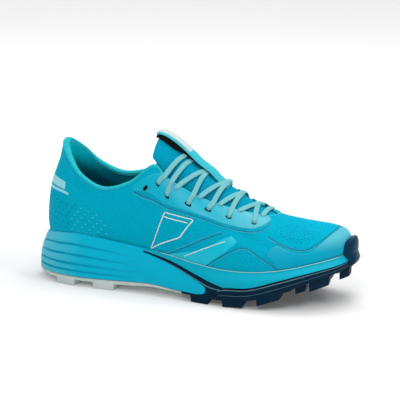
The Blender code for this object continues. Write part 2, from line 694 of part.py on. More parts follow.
def make_strap():
    """The pull strap: a webbing that leaves the tongue's crest and loops at its top."""
    line = along(STRAP_LINE, 2)
    points = np.stack([line[:, 0] * LENGTH, np.zeros(len(line)), upper_z(line[:, 1])], axis=1)
    direction = np.gradient(points, axis=0)
    normal = np.stack([direction[:, 2], np.zeros(len(line)), -direction[:, 0]], axis=1)
    normal /= np.linalg.norm(normal, axis=1, keepdims=True)
    halves = np.array([-0.5, 0.0, 0.5]) * STRAP_WIDTH
    side = np.array([0.0, 1.0, 0.0])
    under = np.array([[p + side * h for h in halves] for p in points])
    over = under + normal[:, None, :] * STRAP_THICKNESS
    return slab("tongue_strap", over, under, (0.05, 0.60, 0.68), 0.7)


def surface(last, column, v):
    """The point and normal of the upper's outer surface at a column, which may be between two."""
    j = int(np.floor(column)) % LOOP
    share = column - np.floor(column)
    k = (j + 1) % LOOP
    point, normal = last.at(v), last.normals(v)
    place = point[j] + (point[k] - point[j]) * share
    lean = normal[j] + (normal[k] - normal[j]) * share
    return place, lean / np.linalg.norm(lean)


def side_place(last, x, z, side):
    """The column and share of the upper's surface at a place of the side view."""
    first, final = (0, HALF) if side < 0 else (HALF, LOOP)
    shares = np.linspace(0.05, 0.995, 140)
    grid = np.array([last.at(v) for v in shares])
    columns = np.arange(first, final, 0.125)
    j = np.floor(columns).astype(int)
    t = (columns - j)[None, :, None]
    fine = grid[:, j % LOOP] * (1.0 - t) + grid[:, (j + 1) % LOOP] * t
    away = np.hypot(fine[:, :, 0] - x, fine[:, :, 2] - z)
    i, c = np.unravel_index(np.argmin(away), away.shape)
    return columns[c], shares[i]


def eyelet_places(last, side):
    """Columns and shares of one facing's eyelets."""
    shift = 0.0 if side < 0 else INNER_FACING_SHIFT
    return [side_place(last, (x + shift) * LENGTH, upper_z(z), side) for x, z in EYELETS]


def make_eyelet_cutters(last):
    """Short cylinders that punch the eyelets through wall and facing."""
    cutters = []
    for side in (-1.0, 1.0):
        for column, share in eyelet_places(last, side):
            point, normal = surface(last, column, share)
            mesh = bpy.data.meshes.new("eyelet")
            work = bmesh.new()
            depth = 4 * (WALL + OVERLAY)
            bmesh.ops.create_cone(
                work, cap_ends=True, segments=8, radius1=EYELET_RADIUS, radius2=EYELET_RADIUS, depth=depth)
            work.to_mesh(mesh)
            work.free()
            cutter = bpy.data.objects.new("eyelet", mesh)
            bpy.context.scene.collection.objects.link(cutter)
            turn = Vector(normal).to_track_quat("Z", "Y").to_matrix().to_4x4()
            mesh.transform(turn)
            mesh.transform(turn.Translation(Vector(point)))
            cutter.hide_render = True
            cutter.display_type = "WIRE"
            cutters.append(cutter)
    return cutters


def overlay_sheet(last, name, first, final, low, high, colour):
    """A sheet over part of the upper, between two columns and two loops of its surface."""
    shares = last.loops()[low:high]
    if low == 1:
        shares[0] = shares[0] + BORDER_MARGIN
    columns = np.arange(first, final + 1) % LOOP
    under = np.array([last.offset(v, GAP)[columns] for v in shares])
    over = np.array([last.offset(v, GAP + OVERLAY)[columns] for v in shares])
    return slab(name, over, under, colour, 0.35)


def side_prism(name, outline, side):
    """A cutter from an outline in shares of the side view, on one side of the shoe."""
    points = [(x * LENGTH, float(upper_z(z))) for x, z in outline]
    y0, y1 = (-BALL_WIDTH, 0.0) if side < 0 else (0.0, BALL_WIDTH)
    return prism(name, points, y0, y1)


def make_overlays(last):
    """Welded films: a facing and a side panel on each side, and one round the toe."""
    cyan = (0.02, 0.60, 0.72)
    overlays = []
    for side, word in ((-1.0, "outer"), (1.0, "inner")):
        first, final = (5 * STEPS, 13 * STEPS) if side < 0 else (LOOP - 13 * STEPS, LOOP - 5 * STEPS)
        facing = overlay_sheet(last, "facing_" + word, first, final, 3, 8, cyan)
        combine(facing, side_prism("facing_cut", FACING_OUTLINE, side), "INTERSECT")
        first, final = (6 * STEPS, 11 * STEPS) if side < 0 else (LOOP - 11 * STEPS, LOOP - 6 * STEPS)
        panel = overlay_sheet(last, "side_panel_" + word, first, final, 1, 6, (0.0, 0.52, 0.70))
        combine(panel, side_prism("panel_cut", SIDE_OUTLINE, side), "INTERSECT")
        overlays += [facing, panel]
    toe = overlay_sheet(last, "toe_overlay", 9 * STEPS, LOOP - 9 * STEPS, 1, 6, (0.03, 0.58, 0.70))
    points = [(x * LENGTH, float(upper_z(z))) for x, z in TOE_OUTLINE]
    combine(toe, prism("toe_cut", points, -BALL_WIDTH, BALL_WIDTH), "INTERSECT")
    return overlays + [toe]


def cord_piece(name, points, normals):
    """A flat oval lace swept along points, closed at both ends."""
    points, normals = np.array(points, float), np.array(normals, float)
    direction = np.gradient(points, axis=0)
    direction /= np.linalg.norm(direction, axis=1, keepdims=True)
    across = np.cross(direction, normals)
    across /= np.linalg.norm(across, axis=1, keepdims=True)
    normals = np.cross(across, direction)
    angles = np.arange(6) * np.pi / 3
    vertices = []
    for p, a, n in zip(points, across, normals):
        for t in angles:
            vertices.append(p + a * np.cos(t) * LACE_WIDTH / 2 + n * np.sin(t) * LACE_THICKNESS / 2)
    faces = [tuple(range(6)), tuple(range(len(vertices) - 6, len(vertices)))]
    for i in range(len(points) - 1):
        faces += ring_faces(6, 6 * i, 6 * i + 6)
    return new_object(name, vertices, faces, (0.32, 0.72, 0.74), 0.8)


def tongue_normal(x, y):
    """The direction out of the tongue's surface over a point of the plan."""
    step = 0.002
    slope_x = (tongue_z(x + step, y) - tongue_z(x - step, y)) / (2 * step)
    slope_y = (tongue_z(x, y + step) - tongue_z(x, y - step)) / (2 * step)
    normal = np.array([-slope_x, -slope_y, 1.0])
    return normal / np.linalg.norm(normal)


def lace_end(last, column, v, toward):
    """A lace's way up a facing: from its eyelet to the throat's edge. toward is an x."""
    over = GAP + OVERLAY + LACE_THICKNESS / 2 + LACE_CLEARANCE
    eyelet, lean = surface(last, column, v)
    edge_x = eyelet[0] + (toward - eyelet[0]) * 0.25
    side = np.arange(7 * STEPS, HALF) if column < HALF else np.arange(HALF + 1, LOOP - 7 * STEPS)
    order = np.argsort(last.rim[side, 0])
    edge = np.interp(edge_x, last.rim[side[order], 0], side[order].astype(float))
    way = [(eyelet + lean * over, lean)]
    for t in (0.5, 1.0):
        point, normal = surface(last, column + (edge - column) * t, v + (1.0 - v) * t)
        way.append((point + normal * over, normal))
    return way


def lace_bar(name, start, crest_x, end):
    """A bar over the tongue's crest between two ways, each a list of points and normals."""
    lift = LACE_THICKNESS / 2 + LACE_CLEARANCE
    crest_normal = tongue_normal(crest_x, 0.0)
    crest = np.array([crest_x, 0.0, tongue_z(crest_x, 0.0)]) + crest_normal * lift
    halves = []
    for way in (start, end):
        near, lean = way[-1]
        points = []
        for t in (0.72, 0.4):
            x, y = crest[0] + (near[0] - crest[0]) * t**1.3, near[1] * t
            normal = tongue_normal(x, y)
            over = tongue_z(x, y) + lift / normal[2]
            bridge = crest[2] + (near[2] - crest[2]) * t**1.9
            points.append(((x, y, max(bridge, over)), normal * (1.0 - t * t) + lean * t * t))
        halves.append(way + points)
    line = halves[0] + [(crest, crest_normal)] + halves[1][::-1]
    return cord_piece(name, [p for p, _ in line], [n for _, n in line])


def rim_at(last, x, side):
    """The throat's edge at x, on one side."""
    columns = np.arange(7 * STEPS, HALF + 1) if side < 0 else np.arange(HALF, LOOP - 7 * STEPS + 1)
    rim = last.rim[columns]
    order = np.argsort(rim[:, 0])
    return np.array([x] + [np.interp(x, rim[order, 0], rim[order, k]) for k in (1, 2)])


def make_laces(last):
    """The straight bar at the bottom, and five crossings, each two joined bars."""
    lift = LACE_THICKNESS / 2 + LACE_CLEARANCE
    shift = INNER_FACING_SHIFT * LENGTH

    def dive(x, side):
        rim = rim_at(last, x, side)
        y = rim[1] - side * 0.8 * LACE_WIDTH
        normal = tongue_normal(x, y)
        return [(np.array([x, y, tongue_z(x, y)]) + normal * lift, normal)]

    outer, inner = eyelet_places(last, -1.0), eyelet_places(last, 1.0)
    x = STRAIGHT_BAR * LENGTH
    bars = [lace_bar("lace_straight", dive(x, -1.0), x, dive(x, 1.0))]
    for i, share in enumerate(CREST_X):
        crest = share * LENGTH
        near = [lace_end(last, *outer[i], crest), lace_end(last, *inner[i], crest)]
        if i < len(DIVE_X):
            low = DIVE_X[i] * LENGTH
            far = [dive(low + shift, 1.0), dive(low, -1.0)]
        else:
            far = [lace_end(last, *inner[i + 1], crest), lace_end(last, *outer[i + 1], crest)]
        cross = lace_bar(f"lace_cross_{i + 1}", near[0], crest, far[0])
        other = lace_bar("other_bar", near[1], crest, far[1])
        bars.append(combine(cross, other, "UNION"))
    return bars


def shade(objects):
    """Smooth shading, with edges kept where the surface turns sharply."""
    for obj in objects:
        obj.data.shade_smooth()
        obj.data.set_sharp_from_angle(angle=np.radians(38))


def centre_on_floor(objects):
    """Moves every mesh so that the origin is under the middle of the whole shoe."""
    corners = np.array([v.co for obj in objects for v in obj.data.vertices])
    low, high = corners.min(axis=0), corners.max(axis=0)
    shift = Vector((-(low[0] + high[0]) / 2, -(low[1] + high[1]) / 2, -low[2]))
    for obj in objects:
        obj.data.transform(obj.matrix_world.Translation(shift))
    print("shift", [round(v, 6) for v in shift])


def main():
    for obj in list(bpy.data.objects):
        bpy.data.objects.remove(obj)
    last = Last()
    upper = make_upper(last)
    heel_foam, fore_foam = make_foams(last)
    heel_outsole, fore_outsole = make_outsoles(last)
    overlays = make_overlays(last)
    facings = [o for o in overlays if o.name.startswith("facing")]
    for cutter in make_eyelet_cutters(last):
        combine(upper, cutter, "DIFFERENCE", keep_other=True)
        for facing in facings:
            combine(facing, cutter, "DIFFERENCE", keep_other=True)
        bpy.data.objects.remove(cutter)
    pieces = [upper, heel_foam, fore_foam, heel_outsole, fore_outsole, make_insole(last)]
    pieces += [make_tongue(), make_strap()] + overlays + make_laces(last)
    shade(pieces)
    centre_on_floor(pieces)
    shoe = bpy.data.collections.new("trail_shoe")
    bpy.context.scene.collection.children.link(shoe)
    for obj in pieces:
        bpy.context.scene.collection.objects.unlink(obj)
        shoe.objects.link(obj)


main()
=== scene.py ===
# %% [markdown]
# # A right trail running shoe
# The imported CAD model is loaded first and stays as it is. It says where every part of the shoe
# lies. Each step below makes one piece of the shoe as it looks, on the place of its plain solid.

# %% Load the frame
from math import cos, pi, radians, sin

import bmesh
import bpy
import numpy as np
from mathutils import Matrix, Vector
from mathutils.geometry import delaunay_2d_cdt


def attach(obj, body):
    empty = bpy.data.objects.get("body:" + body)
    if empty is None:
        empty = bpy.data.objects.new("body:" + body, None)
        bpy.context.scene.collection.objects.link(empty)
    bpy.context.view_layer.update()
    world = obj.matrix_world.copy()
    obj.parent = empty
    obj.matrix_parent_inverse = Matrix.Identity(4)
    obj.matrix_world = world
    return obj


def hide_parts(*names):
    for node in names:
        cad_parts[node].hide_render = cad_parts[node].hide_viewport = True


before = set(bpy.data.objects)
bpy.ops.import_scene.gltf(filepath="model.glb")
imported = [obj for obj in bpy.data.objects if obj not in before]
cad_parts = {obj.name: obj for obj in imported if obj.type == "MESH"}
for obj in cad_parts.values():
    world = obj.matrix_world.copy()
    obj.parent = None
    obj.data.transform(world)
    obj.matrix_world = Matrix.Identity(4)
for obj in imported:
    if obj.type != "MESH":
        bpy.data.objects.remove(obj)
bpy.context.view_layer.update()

MM = 0.001

# %% [markdown]
# ## Camera
# A product photograph of a shoe is taken from a little above, and turned towards the toe. A
# camera can be dragged about until the picture fits. Here three angles, a point to look at and a
# distance place it, because they can be corrected one at a time. It stands far back with a long
# lens, which keeps the shoe's proportions, and the roll tips the picture, because the shoe in the
# photograph doesn't stand quite level.

# %% Camera
VIEW_TURN, VIEW_RISE, VIEW_ROLL = radians(17.0), radians(12.5), radians(1.8)
VIEW_TARGET = Vector((0.00110, 0.00308, 0.07422))
VIEW_DISTANCE = 1.4
SENSOR_MM, LENS_MM = 36.0, 151.8


def place_camera():
    """A long lens that looks at the outer side of the shoe."""
    back = Vector((sin(VIEW_TURN) * cos(VIEW_RISE), -cos(VIEW_TURN) * cos(VIEW_RISE), sin(VIEW_RISE)))
    level = Vector((cos(VIEW_TURN), sin(VIEW_TURN), 0.0))
    upright = back.cross(level)
    right = level * cos(VIEW_ROLL) + upright * sin(VIEW_ROLL)
    up = upright * cos(VIEW_ROLL) - level * sin(VIEW_ROLL)
    camera = bpy.data.objects.new("camera", bpy.data.cameras.new("camera"))
    bpy.context.scene.collection.objects.link(camera)
    pose = Matrix((right, up, back)).transposed().to_4x4()
    pose.translation = VIEW_TARGET + back * VIEW_DISTANCE
    camera.matrix_world = pose
    camera.data.sensor_width = SENSOR_MM
    camera.data.lens = LENS_MM
    camera.data.clip_start, camera.data.clip_end = 0.05, 50.0
    bpy.context.scene.camera = camera
    return camera


camera = place_camera()
print("camera at", [round(v, 3) for v in camera.location])

# %% [markdown]
# ## Floor and light
# The shoe stands on white paper in a soft tent of light. A picture of a studio wrapped round the
# world would give such light too, but its shadows can't be moved. Here the paper is a real sheet
# with a round bend, and big square lights make the tent. A big light has a soft edge, so the
# shoe's shadow is dark only where the lugs stand, and fades out round them. Far from the shoe
# the paper glows a little, so that it turns into pure white.

# %% The paper's look
PAPER_NEAR, PAPER_FAR = 0.16, 0.70
PAPER_GLOW_NEAR, PAPER_GLOW_FAR = 0.07, 0.58


def paper_look():
    """Matt white, which glows more and more away from the shoe."""
    paper = bpy.data.materials.new("white_paper")
    paper.use_nodes = True
    shader = paper.node_tree.nodes["Principled BSDF"]
    shader.inputs["Base Color"].default_value = (0.84, 0.84, 0.84, 1)
    shader.inputs["Roughness"].default_value = 0.95
    shader.inputs["Specular IOR Level"].default_value = 0.1
    shader.inputs["Emission Color"].default_value = (1, 1, 1, 1)
    nodes, links = paper.node_tree.nodes, paper.node_tree.links
    place, length = nodes.new("ShaderNodeTexCoord"), nodes.new("ShaderNodeVectorMath")
    span = nodes.new("ShaderNodeMapRange")
    length.operation, span.interpolation_type = "LENGTH", "SMOOTHSTEP"
    span.inputs["From Min"].default_value, span.inputs["From Max"].default_value = PAPER_NEAR, PAPER_FAR
    span.inputs["To Min"].default_value = PAPER_GLOW_NEAR
    span.inputs["To Max"].default_value = PAPER_GLOW_FAR
    links.new(place.outputs["Object"], length.inputs[0])
    links.new(length.outputs["Value"], span.inputs["Value"])
    links.new(span.outputs[0], shader.inputs["Emission Strength"])
    return paper


print("the paper's glow grows from", PAPER_NEAR, "to", PAPER_FAR, "m from the middle")

# %% White paper
PAPER_SIZE, PAPER_WALL, PAPER_BEND = 12.0, 6.0, 3.0


def back_edges(work, tallest=10.0):
    """Selects the edges of the sheet that lie at its back, up to a height."""
    bpy.ops.mesh.select_all(action="DESELECT")
    for edge in work.edges:
        edge.select_set(all(v.co.y > 0.98 * PAPER_SIZE / 2 and v.co.z < tallest for v in edge.verts))


def add_backdrop():
    """A sheet of paper: a plane whose back edge is pulled up into a wall, with a wide round bend."""
    bpy.ops.object.select_all(action="DESELECT")
    bpy.ops.mesh.primitive_plane_add(size=PAPER_SIZE, location=(0, 0, 0))
    sheet = bpy.context.object
    sheet.name = "paper_backdrop"
    bpy.ops.object.mode_set(mode="EDIT")
    back_edges(bmesh.from_edit_mesh(sheet.data))
    bmesh.update_edit_mesh(sheet.data)
    bpy.ops.mesh.extrude_region_move(TRANSFORM_OT_translate={"value": (0, 0, PAPER_WALL)})
    back_edges(bmesh.from_edit_mesh(sheet.data), 0.1)
    bmesh.update_edit_mesh(sheet.data)
    bpy.ops.mesh.bevel(offset=PAPER_BEND, segments=16)
    bpy.ops.object.mode_set(mode="OBJECT")
    bpy.ops.object.shade_smooth()
    sheet.data.materials.append(paper_look())


add_backdrop()
print("paper", PAPER_SIZE, "m wide")

# %% Lights
TENT_STRENGTH = 0.26


def add_light(name, place, aim, size, watts):
    """A square area light that looks at a point."""
    data = bpy.data.lights.new(name, "AREA")
    data.size, data.energy = size, watts
    light = bpy.data.objects.new(name, data)
    bpy.context.scene.collection.objects.link(light)
    light.location = place
    light.rotation_mode = "QUATERNION"
    light.rotation_quaternion = (Vector(aim) - Vector(place)).to_track_quat("-Z", "Y")
    return light


world = bpy.data.worlds.new("tent")
world.use_nodes = True
world.node_tree.nodes["Background"].inputs["Color"].default_value = (1, 1, 1, 1)
world.node_tree.nodes["Background"].inputs["Strength"].default_value = TENT_STRENGTH
bpy.context.scene.world = world
bpy.context.scene.view_settings.view_transform = "Standard"
add_light("key", (0.10, 0.26, 1.10), (0.02, 0, 0.03), 0.62, 6.6)
add_light("strip", (0.16, -0.36, 1.05), (0.04, 0, 0.05), 0.34, 2.0)
add_light("left", (-1.0, 0.30, 0.60), (-0.1, 0, 0.03), 0.40, 3.0)
add_light("front", (0.08, -1.25, 1.02), (0.0, 0, 0.06), 0.5, 5.6)
add_light("toe", (0.98, -0.25, 1.05), (0.10, 0, 0.06), 0.45, 4.4)

# %% [markdown]
# ## Sizes and sections
# A shoe is built round a last, a smooth block in the shape of a foot. It could be sculpted, but a
# last maker works with sections, and so do the tables below: one row for each place from the heel
# to the toe, as shares of a few driving sizes. They are the sections of the solids, so both models
# agree. The curve through them is cut finer here, and the heel's collar stands 1.6 mm higher,
# as the photograph shows it.

# %% Driving sizes
LENGTH, BALL_WIDTH, SOLE_HEIGHT, UPPER_HEIGHT = 0.272, 0.100, 0.0305, 0.0890
WALL, COLLAR_PAD, RIM_WALL, OUTSOLE_SHEET, MIDSOLE_LIP = 0.0020, 0.0058, 0.0024, 0.0022, 0.0016
LUG_HEIGHT, EDGE_BEVEL, GAP = 0.0055, 0.0018, 0.0003
SHIFT = np.array([-0.136467, -0.000161, 0.0])
STEPS = 20
print("length in mm", LENGTH / MM, "ball width in mm", BALL_WIDTH / MM)

# %% Sections of the last
LAST_ROWS = (
    # foot x, outer, inner, rim x, outer, inner, rim z outer, inner, low out, up, high out, down, pad
    (0.042, 0.000, 0.000, 0.066, 0.000, 0.000, 0.980, 0.980, 0.135, 0.315, 0.000, 0.315, 1.0),
    (0.055, 0.145, 0.145, 0.075, 0.105, 0.100, 0.950, 0.953, 0.120, 0.303, 0.010, 0.303, 1.0),
    (0.096, 0.245, 0.240, 0.107, 0.205, 0.200, 0.843, 0.865, 0.100, 0.281, 0.020, 0.270, 1.0),
    (0.165, 0.285, 0.280, 0.156, 0.270, 0.265, 0.702, 0.730, 0.080, 0.247, 0.035, 0.225, 1.0),
    (0.250, 0.295, 0.275, 0.233, 0.300, 0.290, 0.605, 0.646, 0.065, 0.202, 0.035, 0.202, 1.0),
    (0.338, 0.300, 0.260, 0.316, 0.290, 0.290, 0.683, 0.708, 0.080, 0.225, 0.055, 0.225, 1.0),
    (0.412, 0.315, 0.255, 0.386, 0.250, 0.255, 0.854, 0.871, 0.085, 0.270, 0.090, 0.270, 0.6),
    (0.482, 0.340, 0.280, 0.439, 0.270, 0.270, 0.742, 0.758, 0.080, 0.247, 0.090, 0.225, 0.1),
    (0.555, 0.375, 0.335, 0.529, 0.260, 0.255, 0.603, 0.612, 0.075, 0.213, 0.095, 0.135, 0.0),
    (0.636, 0.405, 0.390, 0.618, 0.220, 0.215, 0.522, 0.528, 0.065, 0.191, 0.130, 0.101, 0.0),
    (0.721, 0.415, 0.425, 0.691, 0.170, 0.170, 0.472, 0.472, 0.060, 0.180, 0.160, 0.080, 0.0),
    (0.809, 0.380, 0.420, 0.732, 0.110, 0.110, 0.450, 0.450, 0.060, 0.202, 0.200, 0.078, 0.0),
    (0.888, 0.290, 0.375, 0.749, 0.055, 0.058, 0.446, 0.446, 0.060, 0.247, 0.250, 0.092, 0.0),
    (0.946, 0.140, 0.270, 0.755, 0.022, 0.025, 0.446, 0.446, 0.070, 0.335, 0.340, 0.104, 0.0),
    (0.972, -0.060, 0.060, 0.757, -0.003, 0.003, 0.446, 0.446, 0.100, 0.410, 0.380, 0.112, 0.0),
)
print("sections of the last", len(LAST_ROWS))

# %% Sections of the sole
SOLE_ROWS = (
    # x, outer, inner, border, footbed, seam, base
    (0.004, 0.000, 0.000, 1.295, 1.016, 0.315, 0.210),
    (0.018, 0.175, 0.170, 1.318, 1.016, 0.308, 0.197),
    (0.066, 0.310, 0.300, 1.397, 1.016, 0.289, 0.171),
    (0.154, 0.375, 0.365, 1.449, 1.007, 0.270, 0.164),
    (0.250, 0.385, 0.360, 1.384, 0.970, 0.279, 0.164),
    (0.338, 0.388, 0.335, 1.298, 0.925, 0.308, 0.190),
    (0.415, 0.400, 0.320, 1.210, 0.879, 0.325, 0.230),
    (0.493, 0.425, 0.340, 1.125, 0.820, 0.250, 0.180),
    (0.570, 0.465, 0.400, 1.020, 0.764, 0.250, 0.164),
    (0.640, 0.493, 0.455, 0.955, 0.728, 0.510, 0.160),
    (0.721, 0.500, 0.498, 0.975, 0.741, 0.590, 0.235),
    (0.812, 0.465, 0.495, 1.085, 0.845, 0.850, 0.500),
    (0.904, 0.355, 0.435, 1.250, 1.033, 1.090, 0.810),
    (0.967, 0.180, 0.310, 1.370, 1.167, 1.215, 0.993),
    (0.988, -0.065, 0.065, 1.416, 1.233, 1.260, 1.056),
)
LAST = np.array(LAST_ROWS).T
SOLE = np.array(SOLE_ROWS).T
ROUND = 2 * (len(LAST_ROWS) - 1)
LOOP = ROUND * STEPS
HALF = LOOP // 2
print("sections of the sole", len(SOLE_ROWS), "columns round the last", LOOP)


# %% Smooth curves through sections
def smooth(value, low, high):
    """0 below low and 1 above high, with an even start and end."""
    t = np.clip((np.asarray(value, float) - low) / (high - low), 0.0, 1.0)
    return t * t * (3.0 - 2.0 * t)


def curve(rows, steps, closed=False):
    """A smooth curve through rows, with steps pieces between two of them."""
    rows = np.asarray(rows, float)
    count = len(rows)
    if closed:
        padded = np.concatenate([rows[-1:], rows, rows[:2]])
    else:
        padded = np.concatenate([[2 * rows[0] - rows[1]], rows, [2 * rows[-1] - rows[-2]]])
    t = (np.arange(steps) / steps).reshape((steps,) + (1,) * (rows.ndim - 1))
    points = []
    for i in range(count if closed else count - 1):
        a, b, c, d = padded[i:i + 4]
        cubic = (2.0 * a - 5.0 * b + 4.0 * c - d) * t * t + (3.0 * (b - c) + d - a) * t**3
        points.append(0.5 * (2.0 * b + (c - a) * t + cubic))
    if not closed:
        points.append(rows[-1:])
    return np.concatenate(points)


def around(outer, inner=None):
    """A column of a table as a closed curve: heel, outer side, toe, inner side."""
    inner = outer if inner is None else inner
    return curve(list(outer) + list(inner)[-2:0:-1], STEPS, closed=True)


def outwards(x, y):
    """Level unit vectors that point out of a closed outline."""
    dx, dy = np.roll(x, -1) - np.roll(x, 1), np.roll(y, -1) - np.roll(y, 1)
    length = np.hypot(dx, dy)
    return np.stack([dy / length, -dx / length, np.zeros(len(x))], axis=1)


def sides(outer, inner):
    """Half widths as y: the outer side is negative."""
    return around(-np.asarray(outer), inner) * BALL_WIDTH


def upper_z(share):
    """Height of a share of the upper above the heel's footbed."""
    return SOLE_HEIGHT + np.asarray(share, float) * UPPER_HEIGHT


print("widest place in mm", round(float(np.ptp(sides(LAST[1], LAST[2]))) / MM, 1))

# %% [markdown]
# ## The last
# On the real shoe one block gives the whole upper its shape. Here one smooth surface does. Each
# section is a cubic curve that leaves the foot line, swells over the side and reaches the rim. A
# place on it is two numbers: the row, from 0 at the heel to 14 at the toe and 28 back at the
# heel, and the share of the section, from 0 at the sole to 1 at the rim. A mesh would do as a
# surface too, but with these two numbers films, seams and eyelets can be drawn flat, and still
# lie exactly on the shoe.

# %% The last
class Last:
    """The surface that the upper is stretched over."""

    def __init__(self):
        foot_x = around(LAST[0]) * LENGTH
        foot_y = sides(LAST[1], LAST[2])
        self.footbed = around(SOLE[4]) * SOLE_HEIGHT
        self.border = around(SOLE[3]) * SOLE_HEIGHT
        self.out = outwards(foot_x, foot_y)
        up = np.array([0.0, 0.0, 1.0])
        self.foot = np.stack([foot_x, foot_y, self.footbed + GAP], axis=1)
        rim_z = upper_z(around(LAST[6], LAST[7]))
        self.rim = np.stack([around(LAST[3]) * LENGTH, sides(LAST[4], LAST[5]), rim_z], axis=1)
        reach = (self.foot - self.rim) * [1.0, 1.0, 0.0]
        distance = np.linalg.norm(reach, axis=1, keepdims=True)
        share = smooth(distance / BALL_WIDTH, 0.05, 0.25)
        lean = share * reach / np.maximum(distance, 1e-9) + (1.0 - share) * self.out
        lean /= np.linalg.norm(lean, axis=1, keepdims=True)
        out, rise, high, down = (around(LAST[k])[:, None] for k in (8, 9, 10, 11))
        self.low = self.foot + out * BALL_WIDTH * self.out + rise * UPPER_HEIGHT * up
        self.high = self.rim + high * BALL_WIDTH * lean - down * UPPER_HEIGHT * up
        self.pad = np.clip(around(LAST[12]), 0.0, 1.0)
        low, high = np.zeros(LOOP), np.full(LOOP, 0.7)
        columns = np.arange(LOOP) / STEPS
        for _ in range(40):
            middle = (low + high) / 2
            under = self.bare(columns, middle)[:, 2] < self.border
            low, high = np.where(under, middle, low), np.where(under, high, middle)
        self.border_v = (low + high) / 2

    def mix(self, values, row):
        """Values of the loop at rows that may lie between two columns."""
        column = np.asarray(row, float) * STEPS
        j = np.floor(column).astype(int)
        t = column - j
        t = t.reshape(t.shape + (1,) * (values.ndim - 1))
        return values[j % LOOP] * (1 - t) + values[(j + 1) % LOOP] * t

    def bare(self, row, v):
        """Points of the last without its soft hollows."""
        row, v = np.broadcast_arrays(np.asarray(row, float), np.asarray(v, float))
        v = v[..., None]
        u = 1.0 - v
        a, b, c, d = (self.mix(h, row) for h in (self.foot, self.low, self.high, self.rim))
        return u**3 * a + 3 * u * u * v * b + 3 * u * v * v * c + v**3 * d

    def normal(self, row, v):
        """Unit vectors out of the last."""
        row, v = np.broadcast_arrays(np.asarray(row, float), np.asarray(v, float))
        across = self.bare(row + 0.06, v) - self.bare(row - 0.06, v)
        rise = self.bare(row, np.minimum(v + 0.02, 1.0)) - self.bare(row, np.maximum(v - 0.02, 0.0))
        normal = np.cross(across, rise)
        return normal / np.linalg.norm(normal, axis=-1, keepdims=True)

    def skin(self, row, v, lift=0.0):
        """Points over the upper's surface, hollows included, at a height over it."""
        lift = np.asarray(lift, float) + hollows(row, v)
        return self.bare(row, v) + self.normal(row, v) * lift[..., None]


last = Last()
print("foot line in mm", round(float(np.ptp(last.foot[:, 0])) / MM, 1))

# %% [markdown]
# ### Troughs and ridges
# Knit that is pulled over a last isn't quite even: it sinks between the stiff parts and stands up
# over their edges. A cloth simulation would find such waves by itself, but not where the
# photograph has them. So each is a soft trough or ridge along a given line.

# %% Troughs and ridges
ROW_MM, SHARE_MM = 21.0, 66.0
HOLLOWS = (
    # row and share of the one end, of the other end, width and height in mm
    (2.9, 0.80, 5.3, 0.78, 6.0, -0.9),
    (0.0, 0.60, 1.3, 0.60, 13.0, 2.0),
    (1.4, 0.66, 2.8, 0.58, 9.0, 0.6),
    (3.9, 0.27, 6.4, 0.20, 6.0, -0.9),
    (5.3, 0.52, 7.2, 0.30, 5.0, 0.5),
    (6.7, 0.40, 8.3, 0.55, 5.0, -0.5),
    (9.7, 0.60, 10.9, 0.42, 4.5, -0.7),
    (10.7, 0.70, 12.3, 0.50, 4.0, 0.5),
    (11.4, 0.86, 13.2, 0.62, 4.5, -0.6),
)


def hollows(row, v):
    """Height of the fabric's soft waves over the last, in metres."""
    row, v = np.broadcast_arrays(np.asarray(row, float), np.asarray(v, float))
    folded = np.minimum(row % ROUND, ROUND - row % ROUND)
    place = np.stack([folded * ROW_MM, v * SHARE_MM], axis=-1)
    total = np.zeros(row.shape)
    for row0, v0, row1, v1, width, height in HOLLOWS:
        start = np.array([row0 * ROW_MM, v0 * SHARE_MM])
        run = np.array([row1 * ROW_MM, v1 * SHARE_MM]) - start
        t = np.clip(((place - start) @ run) / (run @ run), 0.0, 1.0)
        away = np.linalg.norm(place - start - t[..., None] * run, axis=-1)
        total = total + height * MM * np.exp(-(away / width)**2)
    return total


print("troughs and ridges", len(HOLLOWS))

# %% [markdown]
# ## Making meshes
# A shoe's upper and sole are walls with a double curve. By hand one would pull a cube over a
# drawing and smooth it, which gives a soft guess of the shape. These walls have no primitive to
# start from, so their points are worked out and joined in a grid. The grid also gets a UV map in
# millimetres, measured along the surface, so a knit or a weave keeps its real size and follows
# the cloth.

# %% A mesh from points
def mesh_piece(name, vertices, faces, looks, uv=None, crease=None, look_of_face=None):
    """A mesh object with its normals outwards, its UV map in mm and its materials."""
    mesh = bpy.data.meshes.new(name)
    mesh.from_pydata((np.asarray(vertices, float) + SHIFT).tolist(), [], faces)
    if uv is not None:
        layer = mesh.uv_layers.new(name="cloth_mm")
        layer.uv.foreach_set("vector", np.asarray(uv, np.float32).ravel())
    for look in looks if isinstance(looks, (list, tuple)) else [looks]:
        mesh.materials.append(look)
    if look_of_face is not None:
        mesh.polygons.foreach_set("material_index", np.asarray(look_of_face, np.int32))
    work = bmesh.new()
    work.from_mesh(mesh)
    bmesh.ops.remove_doubles(work, verts=work.verts, dist=1e-6)
    bmesh.ops.recalc_face_normals(work, faces=work.faces)
    work.to_mesh(mesh)
    work.free()
    mesh.shade_smooth()
    if crease:
        mesh.set_sharp_from_angle(angle=radians(crease))
    piece = bpy.data.objects.new(name, mesh)
    bpy.context.scene.collection.objects.link(piece)
    return piece


column = np.linalg.norm(np.diff(last.foot, axis=0), axis=1).mean() / MM
print("one column is about", round(float(column), 2), "mm wide")


# %% Grids
def grid_faces(rows, columns, wrap_rows=False, wrap_columns=False, base=0):
    """Quads of a grid of points, as corners (row, column) turned into vertex numbers."""
    i = np.arange(rows if wrap_rows else rows - 1)
    j = np.arange(columns if wrap_columns else columns - 1)
    i, j = np.meshgrid(i, j, indexing="ij")
    corners = [(i, j), (i, j + 1), (i + 1, j + 1), (i + 1, j)]
    faces = [base + (a % rows) * columns + b % columns for a, b in corners]
    return np.stack(faces, axis=-1).reshape(-1, 4), [(a.ravel(), b.ravel()) for a, b in corners]


